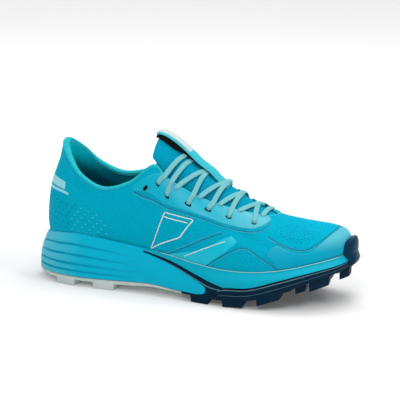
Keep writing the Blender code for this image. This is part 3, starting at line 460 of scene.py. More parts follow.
def grid_uv(grid, corners):
    """UV corners in mm: along the columns, and up the rows."""
    closed = np.concatenate([grid, grid[:1]], axis=0)
    rise = np.linalg.norm(np.diff(closed, axis=0), axis=2).mean(axis=1)
    closed = np.concatenate([grid, grid[:, :1]], axis=1)
    run = np.linalg.norm(np.diff(closed, axis=1), axis=2).mean(axis=0)
    v = np.concatenate([[0.0], np.cumsum(rise)]) / MM
    u = np.concatenate([[0.0], np.cumsum(run)]) / MM
    return np.stack([np.stack([u[b], v[a]], axis=-1) for a, b in corners], axis=1).reshape(-1, 2)


def skin_piece(name, grid, looks, wrap_rows=False, wrap_columns=False, crease=None, look_of_row=None):
    """A grid of points skinned over. look_of_row gives the material number of each row of faces."""
    rows, columns = grid.shape[:2]
    faces, corners = grid_faces(rows, columns, wrap_rows, wrap_columns)
    uv = grid_uv(grid, corners)
    look_of_face = None
    if look_of_row is not None:
        look_of_face = np.asarray(look_of_row)[corners[0][0]]
    return mesh_piece(name, grid.reshape(-1, 3), faces.tolist(), looks, uv, crease, look_of_face)


print("corners of a 3 by 3 grid", len(grid_faces(3, 3)[0]) * 4)

# %% [markdown]
# ## Materials
# A new shoe has few colours, but each comes in several stuffs. Every one is a Principled shader
# with three things on top: two near tones of its colour in a pattern, a roughness that wanders a
# little, and a bump in the grain's real size. The nodes could be wired by hand in the shader
# editor. The helper below wires them in code, so each material is one short call that says what
# the stuff is, and all keep the same millimetres.

# %% A material helper
def linear(red, green, blue):
    """A screen colour of 0 to 255 as the shader wants it."""
    parts = np.array([red, green, blue]) / 255.0
    return (*np.where(parts <= 0.04045, parts / 12.92, ((parts + 0.055) / 1.055)**2.4), 1.0)


class Stuff:
    """A material that is wired up step by step."""

    def __init__(self, name, roughness, **sockets):
        """Sockets that stay constant, such as the specular level, are set here."""
        self.material = bpy.data.materials.new(name)
        self.material.use_nodes = True
        self.tree = self.material.node_tree
        self.shader = self.tree.nodes["Principled BSDF"]
        self.shader.inputs["Roughness"].default_value = roughness
        for socket, value in sockets.items():
            name = socket.replace("_", " ").title().replace("Ior", "IOR")
            self.shader.inputs[name].default_value = value
        self.height = None

    def node(self, kind, sources=(), **values):
        """Adds a node, sets its fields and inputs, and links its first inputs from sources."""
        node = self.tree.nodes.new("ShaderNode" + kind)
        for key, value in values.items():
            if hasattr(node, key):
                setattr(node, key, value)
            else:
                node.inputs[key.replace("_", " ").title()].default_value = value
        for i, source in enumerate(sources):
            if source is not None:
                self.tree.links.new(source, node.inputs[i])
        return node

    def math(self, operation, a, b=0.0, c=0.0):
        """A maths node, whose inputs are numbers or sockets."""
        node = self.node("Math", operation=operation)
        for i, value in enumerate((a, b, c)):
            if isinstance(value, (int, float)):
                node.inputs[i].default_value = value
            else:
                self.tree.links.new(value, node.inputs[i])
        return node.outputs[0]

    def place(self, cloth, scale=(1.0, 1.0, 1.0), turn=0.0):
        """Coordinates in mm: of the cloth's UV map, or of the object."""
        source = self.node("UVMap", uv_map="cloth_mm").outputs[0] if cloth else \
            self.node("TexCoord").outputs["Object"]
        grow = 1.0 if cloth else 1.0 / MM
        mapping = self.node("Mapping", [source], vector_type="POINT")
        mapping.inputs["Scale"].default_value = [s * grow for s in scale]
        mapping.inputs["Rotation"].default_value = (0.0, 0.0, turn)
        return mapping.outputs[0]

    def noise(self, place, scale, detail=2.0):
        """A noise of 0 to 1, with scale waves in a mm."""
        return self.node("TexNoise", [place], scale=scale, detail=detail).outputs["Fac"]

    def tones(self, light, dark, share):
        """Base colour between two tones."""
        mix = self.node("Mix", data_type="RGBA")
        a, b = [s for s in mix.inputs if s.type == "RGBA"]
        for socket, tone in ((a, light), (b, dark)):
            if isinstance(tone, tuple):
                socket.default_value = tone
            else:
                self.tree.links.new(tone, socket)
        self.tree.links.new(share, mix.inputs["Factor"])
        result = [s for s in mix.outputs if s.type == "RGBA"][0]
        self.tree.links.new(result, self.shader.inputs["Base Color"])
        return result

    def fade(self, base, tone, axis, low, high):
        """Paints light or shade in: fades a base colour towards a lighter or darker tone, between two places
        in mm along an axis.
        """
        parts = self.node("SeparateXYZ", [self.place(False)])
        span = self.node("MapRange", [parts.outputs[axis]], interpolation_type="SMOOTHSTEP")
        span.inputs["From Min"].default_value, span.inputs["From Max"].default_value = low, high
        return self.tones(base, tone, span.outputs[0])

    def rough(self, share, low, high):
        """Roughness between two values."""
        span = self.node("MapRange", [share])
        span.inputs["To Min"].default_value, span.inputs["To Max"].default_value = low, high
        self.tree.links.new(span.outputs[0], self.shader.inputs["Roughness"])

    def bump(self, height, depth_mm, strength=1.0):
        """Relief of the surface, with the height's 0 to 1 worth depth_mm."""
        node = self.node("Bump")
        node.inputs["Strength"].default_value = strength
        node.inputs["Distance"].default_value = depth_mm * MM
        self.tree.links.new(height, node.inputs["Height"])
        if self.height is not None:
            self.tree.links.new(self.height, node.inputs["Normal"])
        self.height = node.outputs[0]
        self.tree.links.new(self.height, self.shader.inputs["Normal"])

    def waves(self, place, per_mm, along=0):
        """A sine of 0 to 1 along one axis of the coordinates."""
        parts = self.node("SeparateXYZ", [place])
        angle = self.math("MULTIPLY", parts.outputs[along], 2 * pi * per_mm)
        return self.math("MULTIPLY_ADD", self.math("SINE", angle), 0.5, 0.5)


print("material helper ready")

# %% [markdown]
# ### Knit, film, foam and rubber
# The knit is rows of loops, so its bump is one sine across the cloth times one along it, and its
# grain is a noise of about a loop's size. The welded film is a smooth plastic skin with a faint
# orange peel. The foam's skin is finely pitted. The rubber has a dry bloom in patches. Photographs
# of the stuffs would look real too, but they tile, and they can't follow a change of size.

# %% Knit
def knit(name, tone, dark, pitch=0.9, depth=0.22, roughness=0.78, blotch=0.35, fade=None):
    """A tight engineered mesh, with a grain of lighter and darker loops."""
    stuff = Stuff(name, roughness, specular_ior_level=0.03)
    cloth = stuff.place(True)
    loops = stuff.math("MULTIPLY", stuff.waves(cloth, 1 / pitch), stuff.waves(cloth, 0.7 / pitch, 1))
    cloudy = stuff.noise(stuff.place(True), 0.06, 3.0)
    yarn = stuff.noise(stuff.place(True), 0.9, 1.0)
    share = stuff.math("MULTIPLY_ADD", cloudy, blotch, stuff.math("MULTIPLY_ADD", yarn, 2.6, -1.21))
    share = stuff.math("SUBTRACT", share, stuff.math("MULTIPLY", loops, 0.12))
    base = stuff.tones(linear(*tone), linear(*dark), share)
    # fade paints light or shade in, as a tone that fades along an axis
    if fade:
        stuff.fade(base, linear(*fade[0]), *fade[1:])
    stuff.rough(yarn, roughness - 0.08, roughness + 0.08)
    stuff.bump(loops, depth, 0.6)
    stuff.bump(cloudy, 0.5, 0.25)
    return stuff.material


print("knit: one loop is 0.9 mm by", round(0.9 / 0.7, 2), "mm")


# %% Film
def film(name, tone, dark, roughness=0.30, fade=None, shine=0.22):
    """A thin thermoplastic skin. Where fade is given, a highlight is painted in as a paler tone along an
    axis.
    """
    stuff = Stuff(name, roughness, specular_ior_level=shine)
    place = stuff.place(False)
    cloudy = stuff.noise(place, 0.05, 2.0)
    peel = stuff.noise(place, 1.3, 2.0)
    base = stuff.tones(linear(*tone), linear(*dark), stuff.math("MULTIPLY_ADD", cloudy, 0.7, -0.1))
    if fade:
        stuff.fade(base, linear(*fade[0]), *fade[1:])
    stuff.rough(cloudy, roughness - 0.05, roughness + 0.1)
    stuff.bump(peel, 0.05, 0.35)
    return stuff.material


print("film: its orange peel has waves of about", round(1 / 1.3, 2), "mm")


# %% Foam
def foam(name, tone, dark, roughness=0.52, fade=None):
    """Moulded foam with a fine pitted skin."""
    stuff = Stuff(name, roughness, specular_ior_level=0.07)
    place = stuff.place(False)
    cloudy = stuff.noise(place, 0.035, 3.0)
    pits = stuff.noise(place, 1.6, 3.0)
    base = stuff.tones(linear(*tone), linear(*dark), stuff.math("MULTIPLY_ADD", cloudy, 0.8, -0.15))
    # fade paints light or shade in, as a tone that fades along an axis
    if fade:
        stuff.fade(base, linear(*fade[0]), *fade[1:])
    stuff.rough(pits, roughness - 0.06, roughness + 0.1)
    stuff.bump(pits, 0.08, 0.45)
    return stuff.material


print("foam: its pits are about", round(1 / 1.6, 2), "mm wide")


# %% Rubber
def rubber(name, tone, dark, roughness=0.45):
    """Moulded rubber, with a dry bloom in patches."""
    stuff = Stuff(name, roughness, specular_ior_level=0.06)
    place = stuff.place(False)
    bloom = stuff.noise(place, 0.09, 4.0)
    grain = stuff.noise(place, 2.2, 2.0)
    stuff.tones(linear(*tone), linear(*dark), stuff.math("MULTIPLY_ADD", bloom, 0.9, -0.2))
    stuff.rough(bloom, roughness - 0.1, roughness + 0.15)
    stuff.bump(grain, 0.06, 0.4)
    return stuff.material


print("rubber: its grain is about", round(1 / 2.2, 2), "mm wide")

# %% The shoe's colours
KNIT = knit("knit_teal", (0, 174, 202), (0, 142, 176))
ROLL = knit("collar_roll", (44, 188, 198), (14, 162, 182), pitch=0.7, roughness=0.7)
# The lining's fade is painted shade: darker towards the bottom inside the shoe
LINING = knit("lining_teal", (0, 208, 222), (0, 176, 200), pitch=1.3, depth=0.25, roughness=0.85,
              fade=((0, 104, 124), 2, 104, 82))
TONGUE_CLOTH = knit("tongue_knit", (0, 158, 188), (0, 120, 156), pitch=1.6, depth=0.35)
# The facings' fade is a painted highlight: paler towards their front
FACING_FILM = film("facing_film", (0, 176, 202), (0, 164, 194), fade=((66, 180, 196), 0, 8, 62))
PANEL_FILM = film("panel_film", (0, 190, 214), (0, 182, 208))
# The toe film's fade is a painted highlight: paler towards its top
TOE_FILM = film("toe_film", (0, 164, 194), (0, 152, 186), 0.42, ((86, 184, 200), 2, 46, 59), 0.09)
# The heel foam's fade is a painted highlight: paler towards the back of the heel
HEEL_FOAM = foam("heel_foam", (0, 182, 212), (0, 170, 204), fade=((86, 192, 210), 0, -82, -134))
# A darker foam for the ledges' grooves: painted shade in the recesses
HEEL_GROOVE_SHADE = foam("heel_groove_painted_shade", (0, 164, 198), (0, 154, 190), 0.6)
FORE_FOAM = foam("forefoot_foam", (6, 172, 196), (0, 158, 186))
NAVY = rubber("navy_rubber", (3, 38, 60), (1, 27, 46))
# A pale grey-blue rubber for thin lines on the navy: painted highlights along edges
NAVY_HIGHLIGHT = rubber("navy_rubber_highlight", (92, 128, 146), (54, 92, 112), roughness=0.3)
# Near black navy for the rim's top bevel: painted shadow under the foam's overhang
NAVY_SHADOW = rubber("navy_rubber_shadow", (2, 10, 18), (1, 6, 12), roughness=0.7)
# The bumper is the navy rubber made lighter: partly its own navy, partly a painted reflection on its glossy
# front
BUMPER = rubber("bumper_rubber", (10, 54, 78), (4, 40, 62), roughness=0.35)
PALE = rubber("pale_rubber", (206, 218, 214), (186, 200, 196), roughness=0.5)
print("materials", len(bpy.data.materials))

# %% [markdown]
# ## The upper
# The real upper is one knitted sock, pulled over the last and padded round the collar. A single
# wall with a Solidify modifier would be quick, but a collar isn't evenly thick. So it is lofted in
# one go: up the outside, over the rolled collar, and down the lining. The collar's roll is set
# off by a sewn groove just under it, which gets its own close loops.

# %% The upper's loops
COLLAR_GROOVE = 0.955
RIM_SHARE = 1.0 - 0.018 * last.pad
GROOVE_WIDTH, GROOVE_DROP = 0.9, 0.55
ROLL_RISE = 0.72


def thickness(v):
    """The upper's wall: padded towards the collar."""
    return WALL + (COLLAR_PAD - WALL) * last.pad * smooth(v, 0.45, 0.85)


def upper_grid():
    """Loops of the upper, and the material number of each: 0 knit, 1 collar roll, 2 lining."""
    rows = np.arange(LOOP) / STEPS
    spread = np.concatenate([np.linspace(0.0, 0.93, 58), np.linspace(0.94, 1.0, 11)])
    loops, looks = [last.foot.copy()], [0]
    for s in spread:
        v = last.border_v + (RIM_SHARE - last.border_v) * s
        groove = np.exp(-(((v - COLLAR_GROOVE) * SHARE_MM) / GROOVE_WIDTH)**2) * GROOVE_DROP * MM
        loops.append(last.skin(rows, v, -groove * smooth(last.pad, 0.05, 0.5)))
        looks.append(1 if s > 0.972 else 0)
    top = RIM_SHARE
    thick = thickness(top)[:, None]
    normal = last.normal(rows, top)
    rise = last.bare(rows, top) - last.bare(rows, top - 0.04)
    rise /= np.linalg.norm(rise, axis=1, keepdims=True)
    for angle in np.radians(np.arange(15, 180, 15)):
        middle = last.skin(rows, top) - normal * thick / 2
        loops.append(middle + (normal * cos(angle) + rise * sin(angle) * ROLL_RISE) * thick / 2)
        looks.append(1)
    for s in np.linspace(1.0, 0.0, 30):
        v = last.border_v + (RIM_SHARE - last.border_v) * s
        loops.append(last.skin(rows, v, -thickness(v)))
        looks.append(1 if s > 0.97 else 2)
    loops.append(last.foot - last.out * WALL)
    looks.append(2)
    return np.array(loops), looks


grid, looks = upper_grid()
print("the upper has", len(grid), "loops of", LOOP, "points")


# %% Pieces on the shoe
def worn(piece, slot, *nodes):
    """The piece moves with the shoe and stands for CAD nodes, which it hides. Its slot is not used."""
    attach(piece, "root")
    if nodes:
        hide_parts(*nodes)
    triangles = sum(len(p.vertices) - 2 for p in piece.data.polygons)
    print(piece.name, "triangles", triangles)
    return piece


print("solids to dress", len(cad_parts))

# %% The upper
upper = skin_piece("knit_upper", grid, [KNIT, ROLL, LINING], True, True, look_of_row=looks)
worn(upper, "knit_upper", "upper")

# %% [markdown]
# ## Films on the upper
# Trail shoes wear welded films where stones scrape. A film is cut flat from an outline, then
# pressed on. A flat mesh with a Shrinkwrap modifier would follow the shoe too, but its outline
# would slide. Here the outline is drawn in rows and shares of the last, its corners are rounded by
# cutting them off twice, the inside is filled with triangles, and every point is laid on the
# upper's skin. The edge is thinner than the middle, as a pressed edge is.

# %% Outlines in flat mm
def resample(points, step, closed=True):
    """Points at an even step along a line."""
    points = np.asarray(points, float)
    if closed:
        points = np.vstack([points, points[:1]])
    run = np.concatenate([[0.0], np.cumsum(np.linalg.norm(np.diff(points, axis=0), axis=1))])
    count = max(int(round(run[-1] / step)), 3)
    at = np.linspace(0.0, run[-1], count + 1)
    even = np.stack([np.interp(at, run, points[:, k]) for k in range(points.shape[1])], axis=1)
    return even[:-1] if closed else even


def rounded(outline, corner=4.0, step=0.9):
    """A closed outline in mm with its corners cut off twice."""
    points = resample(outline, corner)
    for _ in range(2):
        ahead = np.roll(points, -1, axis=0)
        pairs = np.stack([0.75 * points + 0.25 * ahead, 0.25 * points + 0.75 * ahead], axis=1)
        points = pairs.reshape(-1, 2)
    return resample(points, step)


def flat_mm(places):
    """Rows and shares as flat mm."""
    return np.asarray(places, float) * [ROW_MM, SHARE_MM]


print("a row is", ROW_MM, "mm and a whole section", SHARE_MM, "mm when laid flat")


# %% Inside, distance and inset
def inside(points, outline):
    """Which points lie in a closed outline."""
    x, y = points[:, 0][:, None], points[:, 1][:, None]
    x0, y0 = outline.T
    x1, y1 = np.roll(outline, -1, axis=0).T
    crosses = (y0 > y) != (y1 > y)
    with np.errstate(divide="ignore", invalid="ignore"):
        cut = (x1 - x0) * (y - y0) / (y1 - y0) + x0
    return (np.sum(crosses & (x < cut), axis=1) % 2) == 1


def away_from(points, outline):
    """Distance from an outline's points, in mm."""
    best = np.full(len(points), 1e9)
    for corner in outline:
        best = np.minimum(best, np.hypot(*(points - corner).T))
    return best


def inset(outline, distance):
    """A closed outline moved inwards."""
    x, y = outline.T
    area = np.sum(x * np.roll(y, -1) - y * np.roll(x, -1))
    along = np.roll(outline, -1, axis=0) - np.roll(outline, 1, axis=0)
    along /= np.linalg.norm(along, axis=1, keepdims=True)
    return outline + np.stack([-along[:, 1], along[:, 0]], axis=1) * distance * np.sign(area)


def ellipse(centre, width, height, count=20):
    """A closed outline for a hole."""
    angles = np.arange(count) * 2 * pi / count
    return np.array(centre) + np.stack([np.cos(angles) * width / 2, np.sin(angles) * height / 2], axis=1)


print("is the middle inside a ring?", bool(inside(np.zeros((1, 2)), ellipse((0.0, 0.0), 2.0, 2.0))[0]))

# %% Triangles that fill an outline
FILM_GRID = 1.25


def film_points(edge, inner, holes):
    """An even field of points inside a film, clear of its edge and its holes."""
    low, high = edge.min(axis=0), edge.max(axis=0)
    across, up = np.arange(low[0], high[0], FILM_GRID), np.arange(low[1], high[1], FILM_GRID * 0.866)
    x, y = np.meshgrid(across, up)
    x[1::2] += FILM_GRID / 2
    fill = np.stack([x.ravel(), y.ravel()], axis=1)
    fill = fill[inside(fill, inner)]
    fill = fill[away_from(fill, edge) > 1.1]
    for hole in holes:
        fill = fill[~inside(fill, inset(hole, -0.7))]
    return fill


def film_triangles(edge, holes):
    """Flat points and triangles that fill an outline, with its holes left open."""
    rings = [edge] + list(holes)
    inner = inset(edge, 0.45)
    points = np.vstack(rings + [inner, film_points(edge, inner, holes)])
    edges, start = [], 0
    for ring in rings:
        edges += [(start + i, start + (i + 1) % len(ring)) for i in range(len(ring))]
        start += len(ring)
    made = delaunay_2d_cdt([Vector(p) for p in points], edges, [], 0, 1e-5)
    flat = np.array([list(p) for p in made[0]])
    triangles = np.array([f for f in made[2] if len(f) == 3])
    middle = flat[triangles].mean(axis=1)
    keep = inside(middle, edge)
    for hole in holes:
        keep &= ~inside(middle, hole)
    return flat, triangles[keep]


print("films are filled with points", FILM_GRID, "mm apart")


# %% A pressed film
def loose(piece):
    """Takes away points that no face uses."""
    work = bmesh.new()
    work.from_mesh(piece.data)
    bmesh.ops.delete(work, geom=[v for v in work.verts if not v.link_faces], context="VERTS")
    work.to_mesh(piece.data)
    work.free()


def film_piece(name, places, look, slot, nodes=(), side=-1, thick=0.5, holes=(), corner=4.0):
    """A film pressed onto the upper. holes are closed outlines in flat mm."""
    edge = rounded(flat_mm(places), corner)
    flat, triangles = film_triangles(edge, holes)
    on_edge = away_from(flat, resample(edge, 0.2)) < 0.11
    row, v = flat[:, 0] / ROW_MM, np.clip(flat[:, 1] / SHARE_MM, 0.0, 1.0)
    if side > 0:
        row = ROUND - row
    top = last.skin(row, v, np.where(on_edge, 0.3, 1.0) * thick * MM + 0.00005)
    under = last.skin(row, v, np.full(len(row), -0.0004))
    count = len(flat)
    faces = [tuple(t) for t in triangles] + [tuple(t[::-1] + count) for t in triangles]
    used = {}
    for t in triangles:
        for a, b in ((t[0], t[1]), (t[1], t[2]), (t[2], t[0])):
            used[(a, b)] = used.get((a, b), 0) + 1
    border = [(a, b) for a, b in used if (b, a) not in used]
    faces += [(b, a, a + count, b + count) for a, b in border]
    faces = [tuple(int(i) for i in f) for f in faces]
    piece = mesh_piece(name, np.vstack([top, under]), faces, look, crease=50)
    loose(piece)
    return worn(piece, slot, *nodes)


print("a film's edge has 0.3 of its thickness")

# %% Facings, side panels and toe film
# Places from heel to toe, as (row, share of the section)
FACING = (
    (6.55, 0.985), (6.42, 0.940), (6.05, 0.900), (5.62, 0.892), (5.30, 0.905), (5.12, 0.888), (5.22, 0.850),
    (5.60, 0.760), (6.00, 0.700), (6.41, 0.672), (7.00, 0.690), (7.52, 0.708), (8.22, 0.721), (8.89, 0.705),
    (9.46, 0.698), (10.06, 0.708), (10.40, 0.751), (10.87, 0.839), (11.19, 0.912), (11.05, 0.960),
    (10.60, 0.990), (9.50, 0.997), (8.20, 0.997), (7.20, 0.997),
)
EYELETS = (
    (10.09, 0.800), (9.11, 0.813), (8.40, 0.836), (7.73, 0.810), (6.91, 0.780), (6.38, 0.826), (5.74, 0.777),
)
SIDE_PANEL = (
    (6.60, 0.131), (7.71, 0.253), (8.30, 0.341), (8.81, 0.472), (9.22, 0.571), (9.38, 0.548), (9.49, 0.499),
    (9.15, 0.384), (8.33, 0.128),
)
TOE_SIDE = (
    (10.90, 0.105), (10.80, 0.197), (10.62, 0.299), (10.45, 0.364), (10.61, 0.426), (10.81, 0.472),
    (11.02, 0.479), (11.30, 0.394), (11.56, 0.325), (11.82, 0.279), (12.01, 0.272), (12.30, 0.302),
    (12.74, 0.361), (13.23, 0.407), (14.00, 0.425),
)
EYELET_WIDTH, EYELET_HEIGHT = 5.0, 3.6

for side, word in ((-1, "outer"), (1, "inner")):
    holes = [ellipse(flat_mm(place), EYELET_WIDTH, EYELET_HEIGHT) for place in EYELETS]
    nodes = ["facing_" + word]
    film_piece("facing_film_" + word, FACING, FACING_FILM, "welded_film", nodes, side, 0.55, holes)
    nodes = ["side_panel_" + word]
    film_piece("panel_film_" + word, SIDE_PANEL, PANEL_FILM, "panel_film", nodes, side, 0.45, corner=2.0)
low_edge = [(row, float(last.mix(last.border_v, row)) + 0.012) for row in np.linspace(17.1, 10.9, 40)]
TOE = list(TOE_SIDE[1:]) + [(ROUND - row, v) for row, v in TOE_SIDE[-2:0:-1]] + low_edge
film_piece("toe_film", TOE, TOE_FILM, "toe_film", ["toe_overlay"], -1, 0.5, corner=2.5)

# %% [markdown]
# ## Pressed seams
# The knit is pressed between hot plates, which leaves fine double lines: a furrow, dark in its
# shade, and a ridge beside it that catches the light. A bump could draw them, but it would vanish
# at the outline. So a line is a low bead of real thickness, laid along the skin and thinner at its
# ends: a dark bead paints the furrow's shade, and a pale one beside it paints the ridge's highlight.

# %% A slab of two grids
def slab(name, top, under, looks, crease=None, look_of_cell=None):
    """Two grids of points, one over the other, closed round their edge."""
    rows, columns = top.shape[:2]
    faces, corners = grid_faces(rows, columns)
    below, _ = grid_faces(rows, columns, base=rows * columns)
    ids = [(0, j) for j in range(columns)] + [(i, columns - 1) for i in range(1, rows)]
    ids += [(rows - 1, j) for j in range(columns - 2, -1, -1)] + [(i, 0) for i in range(rows - 2, 0, -1)]
    ids = np.array([i * columns + j for i, j in ids])
    ahead = np.roll(ids, -1)
    rim = np.stack([ids, ahead, ahead + rows * columns, ids + rows * columns], axis=1)
    uv = grid_uv(top, corners)
    uv = np.vstack([uv, uv.reshape(-1, 4, 2)[:, ::-1].reshape(-1, 2), np.zeros((4 * len(rim), 2))])
    every = faces.tolist() + below[:, ::-1].tolist() + rim.tolist()
    vertices = np.vstack([top.reshape(-1, 3), under.reshape(-1, 3)])
    look = None
    if look_of_cell is not None:
        look = np.concatenate([np.ravel(look_of_cell), np.zeros(len(faces) + len(rim), int)])
    return mesh_piece(name, vertices, every, looks, uv, crease, look)


print("meshes so far", len(bpy.data.meshes))


# %% A bead along the skin
def skin_bead(name, places, look, side=-1, width=1.0, height=0.3, tip=2.0, steps=8):
    """A low bead along a line on the upper, thinner at its two ends."""
    line = resample(curve(flat_mm(places), steps), 1.0, closed=False)
    along = np.gradient(line, axis=0)
    along /= np.linalg.norm(along, axis=1, keepdims=True)
    aside = np.stack([-along[:, 1], along[:, 0]], axis=1)
    run = np.arange(len(line), dtype=float)
    taper = np.clip((np.minimum(run, run[::-1]) + 0.25) / tip, 0.1, 1.0) if tip else np.ones(len(line))
    across = np.linspace(-1.0, 1.0, 5 if width < 3.0 else 9)
    flat = line[:, None] + aside[:, None] * (across[None, :] * taper[:, None])[..., None] * width / 2
    row, v = flat[..., 0] / ROW_MM, np.clip(flat[..., 1] / SHARE_MM, 0.0, 1.0)
    if side > 0:
        row = ROUND - row
    swell = np.sqrt(1.0 - 0.9 * across**4)[None, :] * taper[:, None]
    top = last.skin(row, v, (0.04 + height * swell) * MM)
    under = last.skin(row, v, np.full(row.shape, -0.0003))
    return slab(name, top, under, look, 60)


def beside_places(places, distance):
    """A line on the upper moved sideways by some mm."""
    line = flat_mm(places)
    along = np.gradient(line, axis=0)
    along /= np.linalg.norm(along, axis=1, keepdims=True)
    return (line + np.stack([-along[:, 1], along[:, 0]], axis=1) * distance) / [ROW_MM, SHARE_MM]


print("a bead is 5 points wide, or 9 from 3 mm up")


# %% Joined pieces
def join(pieces, name):
    """Joins pieces into one object."""
    bpy.ops.object.select_all(action="DESELECT")
    for piece in pieces:
        piece.select_set(True)
    bpy.context.view_layer.objects.active = pieces[0]
    bpy.ops.object.join()
    pieces[0].name = name
    return pieces[0]


# %% Seam lines
# Painted shade for the seams' furrows, and a painted highlight for the ridges beside them
SEAM_SHADE = film("seam_painted_shade", (0, 124, 154), (0, 108, 140), 0.6)
SEAM_HIGHLIGHT = film("ridge_painted_highlight", (36, 178, 202), (20, 164, 190), 0.5)

VAMP_LINE = (
    (10.64, 0.620), (10.91, 0.548), (11.24, 0.466), (11.54, 0.384), (11.86, 0.338), (12.11, 0.331),
    (12.45, 0.358), (13.00, 0.413), (13.61, 0.448), (14.00, 0.455),
)
PANEL_LINE = ((6.60, 0.125), (7.40, 0.262), (8.09, 0.405), (8.60, 0.515), (8.95, 0.590))
LEG_LINE = (
    (8.33, 0.122), (8.82, 0.266), (9.43, 0.413), (9.59, 0.440), (9.91, 0.436), (10.24, 0.354), (10.65, 0.233),
    (10.89, 0.122),
)
UNDER_FACING = (
    (5.22, 0.835), (5.60, 0.712), (5.95, 0.655), (6.41, 0.638), (7.52, 0.677), (8.22, 0.690), (8.89, 0.672),
    (9.46, 0.665), (10.06, 0.672), (10.50, 0.722), (10.98, 0.820),
)

vamp_both = list(VAMP_LINE) + [(ROUND - row, v) for row, v in VAMP_LINE[-2::-1]]
seams = [skin_bead("vamp", vamp_both, SEAM_SHADE, -1, 1.1, 0.22),
         skin_bead("vamp_ridge", beside_places(vamp_both, -1.2), SEAM_HIGHLIGHT, -1, 0.8, 0.35)]
for side in (-1, 1):
    for places, shift in ((PANEL_LINE, 1.0), (LEG_LINE, -1.0), (UNDER_FACING, -1.0)):
        seams.append(skin_bead("dark", places, SEAM_SHADE, side, 0.9, 0.22))
        seams.append(skin_bead("ridge", beside_places(places, shift), SEAM_HIGHLIGHT, side, 0.7, 0.3))
worn(join(seams, "pressed_seams"), "welded_film")

# %% [markdown]
# ## Plain prints
# Ink on a shoe is a coat of a tenth of a millimetre. It could be a second material painted on the
# knit, but the knit's mesh is too coarse for sharp edges. So the prints are beads as thin as the
# ink: a plain slanted outline with a short bar on the side, a pinstripe on the panel and two bars
# at the heel.

# %% Plain prints
CREAM = film("cream_print", (236, 228, 216), (226, 216, 204), 0.55)
HEEL_PRINT = film("heel_print", (150, 216, 226), (132, 204, 216), 0.5)
PLAIN_PANEL = ((6.74, 0.590), (7.94, 0.643), (7.34, 0.380), (5.80, 0.140))
PANEL_BAR = ((6.62, 0.535), (7.15, 0.556), (7.70, 0.580))
PINSTRIPE = ((7.45, 0.178), (8.10, 0.300), (8.70, 0.420), (9.05, 0.487))
HEEL_BAR = ((0.55, 0.628), (1.35, 0.650), (2.15, 0.690))
HEEL_THIN_BAR = ((0.55, 0.548), (1.40, 0.580), (2.42, 0.636))
PRINT_WIDTH, PRINT_HEIGHT = 0.65, 0.14


def outline_beads(side):
    """A plain slanted outline, and a short bar across its upper end."""
    edge = rounded(flat_mm(PLAIN_PANEL), 2.0, 1.0) / [ROW_MM, SHARE_MM]
    return [skin_bead("edge", edge, CREAM, side, PRINT_WIDTH, PRINT_HEIGHT, 0.0, 1),
            skin_bead("bar", PANEL_BAR, CREAM, side, PRINT_WIDTH, PRINT_HEIGHT, 0.0)]


marks, bars = [], []
for side in (-1, 1):
    marks += outline_beads(side)
    marks.append(skin_bead("pinstripe", PINSTRIPE, CREAM, side, 0.7, 0.62, 0.0))
    bars.append(skin_bead("bar", HEEL_BAR, HEEL_PRINT, side, 5.2, 0.16, 0.0))
    bars.append(skin_bead("thin", HEEL_THIN_BAR, HEEL_PRINT, side, 1.7, 0.16, 0.0))
worn(join(marks, "plain_marks"), "panel_film")
worn(join(bars, "heel_bars"), "panel_film")

# %% [markdown]
# ## Punched holes and eyelets
# Small holes let warm air out at the heel and over the toes, and the facing has holes for the
# laces. Real cuts would need a Boolean for every hole and would make the knit's mesh huge. A hole
# of a millimetre shows as a dark spot with a soft rim, so each one is a sunk eight-sided cup,
# a few dozen faces, that sits in the skin. Its bottom is painted dark as the shade in the hole,
# and towards the front it is painted light, as the light that falls in. The facing's holes get
# near black cups, painted shade.

# %% Cups in the skin
# Painted shade for the bottoms of the holes, and painted light for those towards the front
HOLE_SHADE = film("hole_painted_shade", (0, 84, 108), (0, 66, 92), 0.8)
HOLE_HIGHLIGHT = film("hole_painted_light", (84, 192, 208), (64, 176, 194), 0.8)
CUP_SIDES = 8
HOLE_RINGS = ((1.5, -0.2), (1.35, 0.10), (1.0, 0.12), (0.8, 0.03))
EYELET_RINGS = ((0.97, -0.25), (0.97, 0.10), (0.5, 0.12))


def cups(name, spots, radius, looks, look_of_spot, side, rings=HOLE_RINGS, stretch=(1.0, 1.0)):
    """Small round cups on the upper: rings of points, as shares of the radius and heights in mm."""
    angle = np.arange(CUP_SIDES) * 2 * pi / CUP_SIDES
    circle = np.stack([np.cos(angle) * stretch[0], np.sin(angle) * stretch[1]], axis=1)
    radii, lifts = np.array(rings).T
    flat = spots[:, None, None] + circle[None, None] * radii[None, :, None, None] * radius
    row, v = flat[..., 0] / ROW_MM, np.clip(flat[..., 1] / SHARE_MM, 0.0, 0.999)
    if side > 0:
        row = ROUND - row
    points = last.skin(row, v, np.broadcast_to(lifts[None, :, None] * MM, row.shape))
    faces, look = [], []
    size = CUP_SIDES * len(rings)
    for k in range(len(spots)):
        base, end = k * size, (k + 1) * size
        ring, _ = grid_faces(len(rings), CUP_SIDES, False, True, base)
        caps = [tuple(range(base, base + CUP_SIDES)), tuple(range(end - CUP_SIDES, end))]
        faces += ring.tolist() + caps
        look += [0] * (size - 2 * CUP_SIDES) + [look_of_spot[k]] * CUP_SIDES + [0, look_of_spot[k]]
    return mesh_piece(name, points.reshape(-1, 3), faces, looks, None, 60, look)


def grid_spots(region, pitch):
    """Staggered spots inside a region of the upper, in flat mm."""
    outline = flat_mm(region)
    low, high = outline.min(axis=0), outline.max(axis=0)
    x, y = np.meshgrid(np.arange(low[0], high[0], pitch[0]), np.arange(low[1], high[1], pitch[1]))
    x[1::2] += pitch[0] / 2
    spots = np.stack([x.ravel(), y.ravel()], axis=1)
    return spots[inside(spots, outline)]


print("faces of one hole", CUP_SIDES * (len(HOLE_RINGS) - 1) + 2)

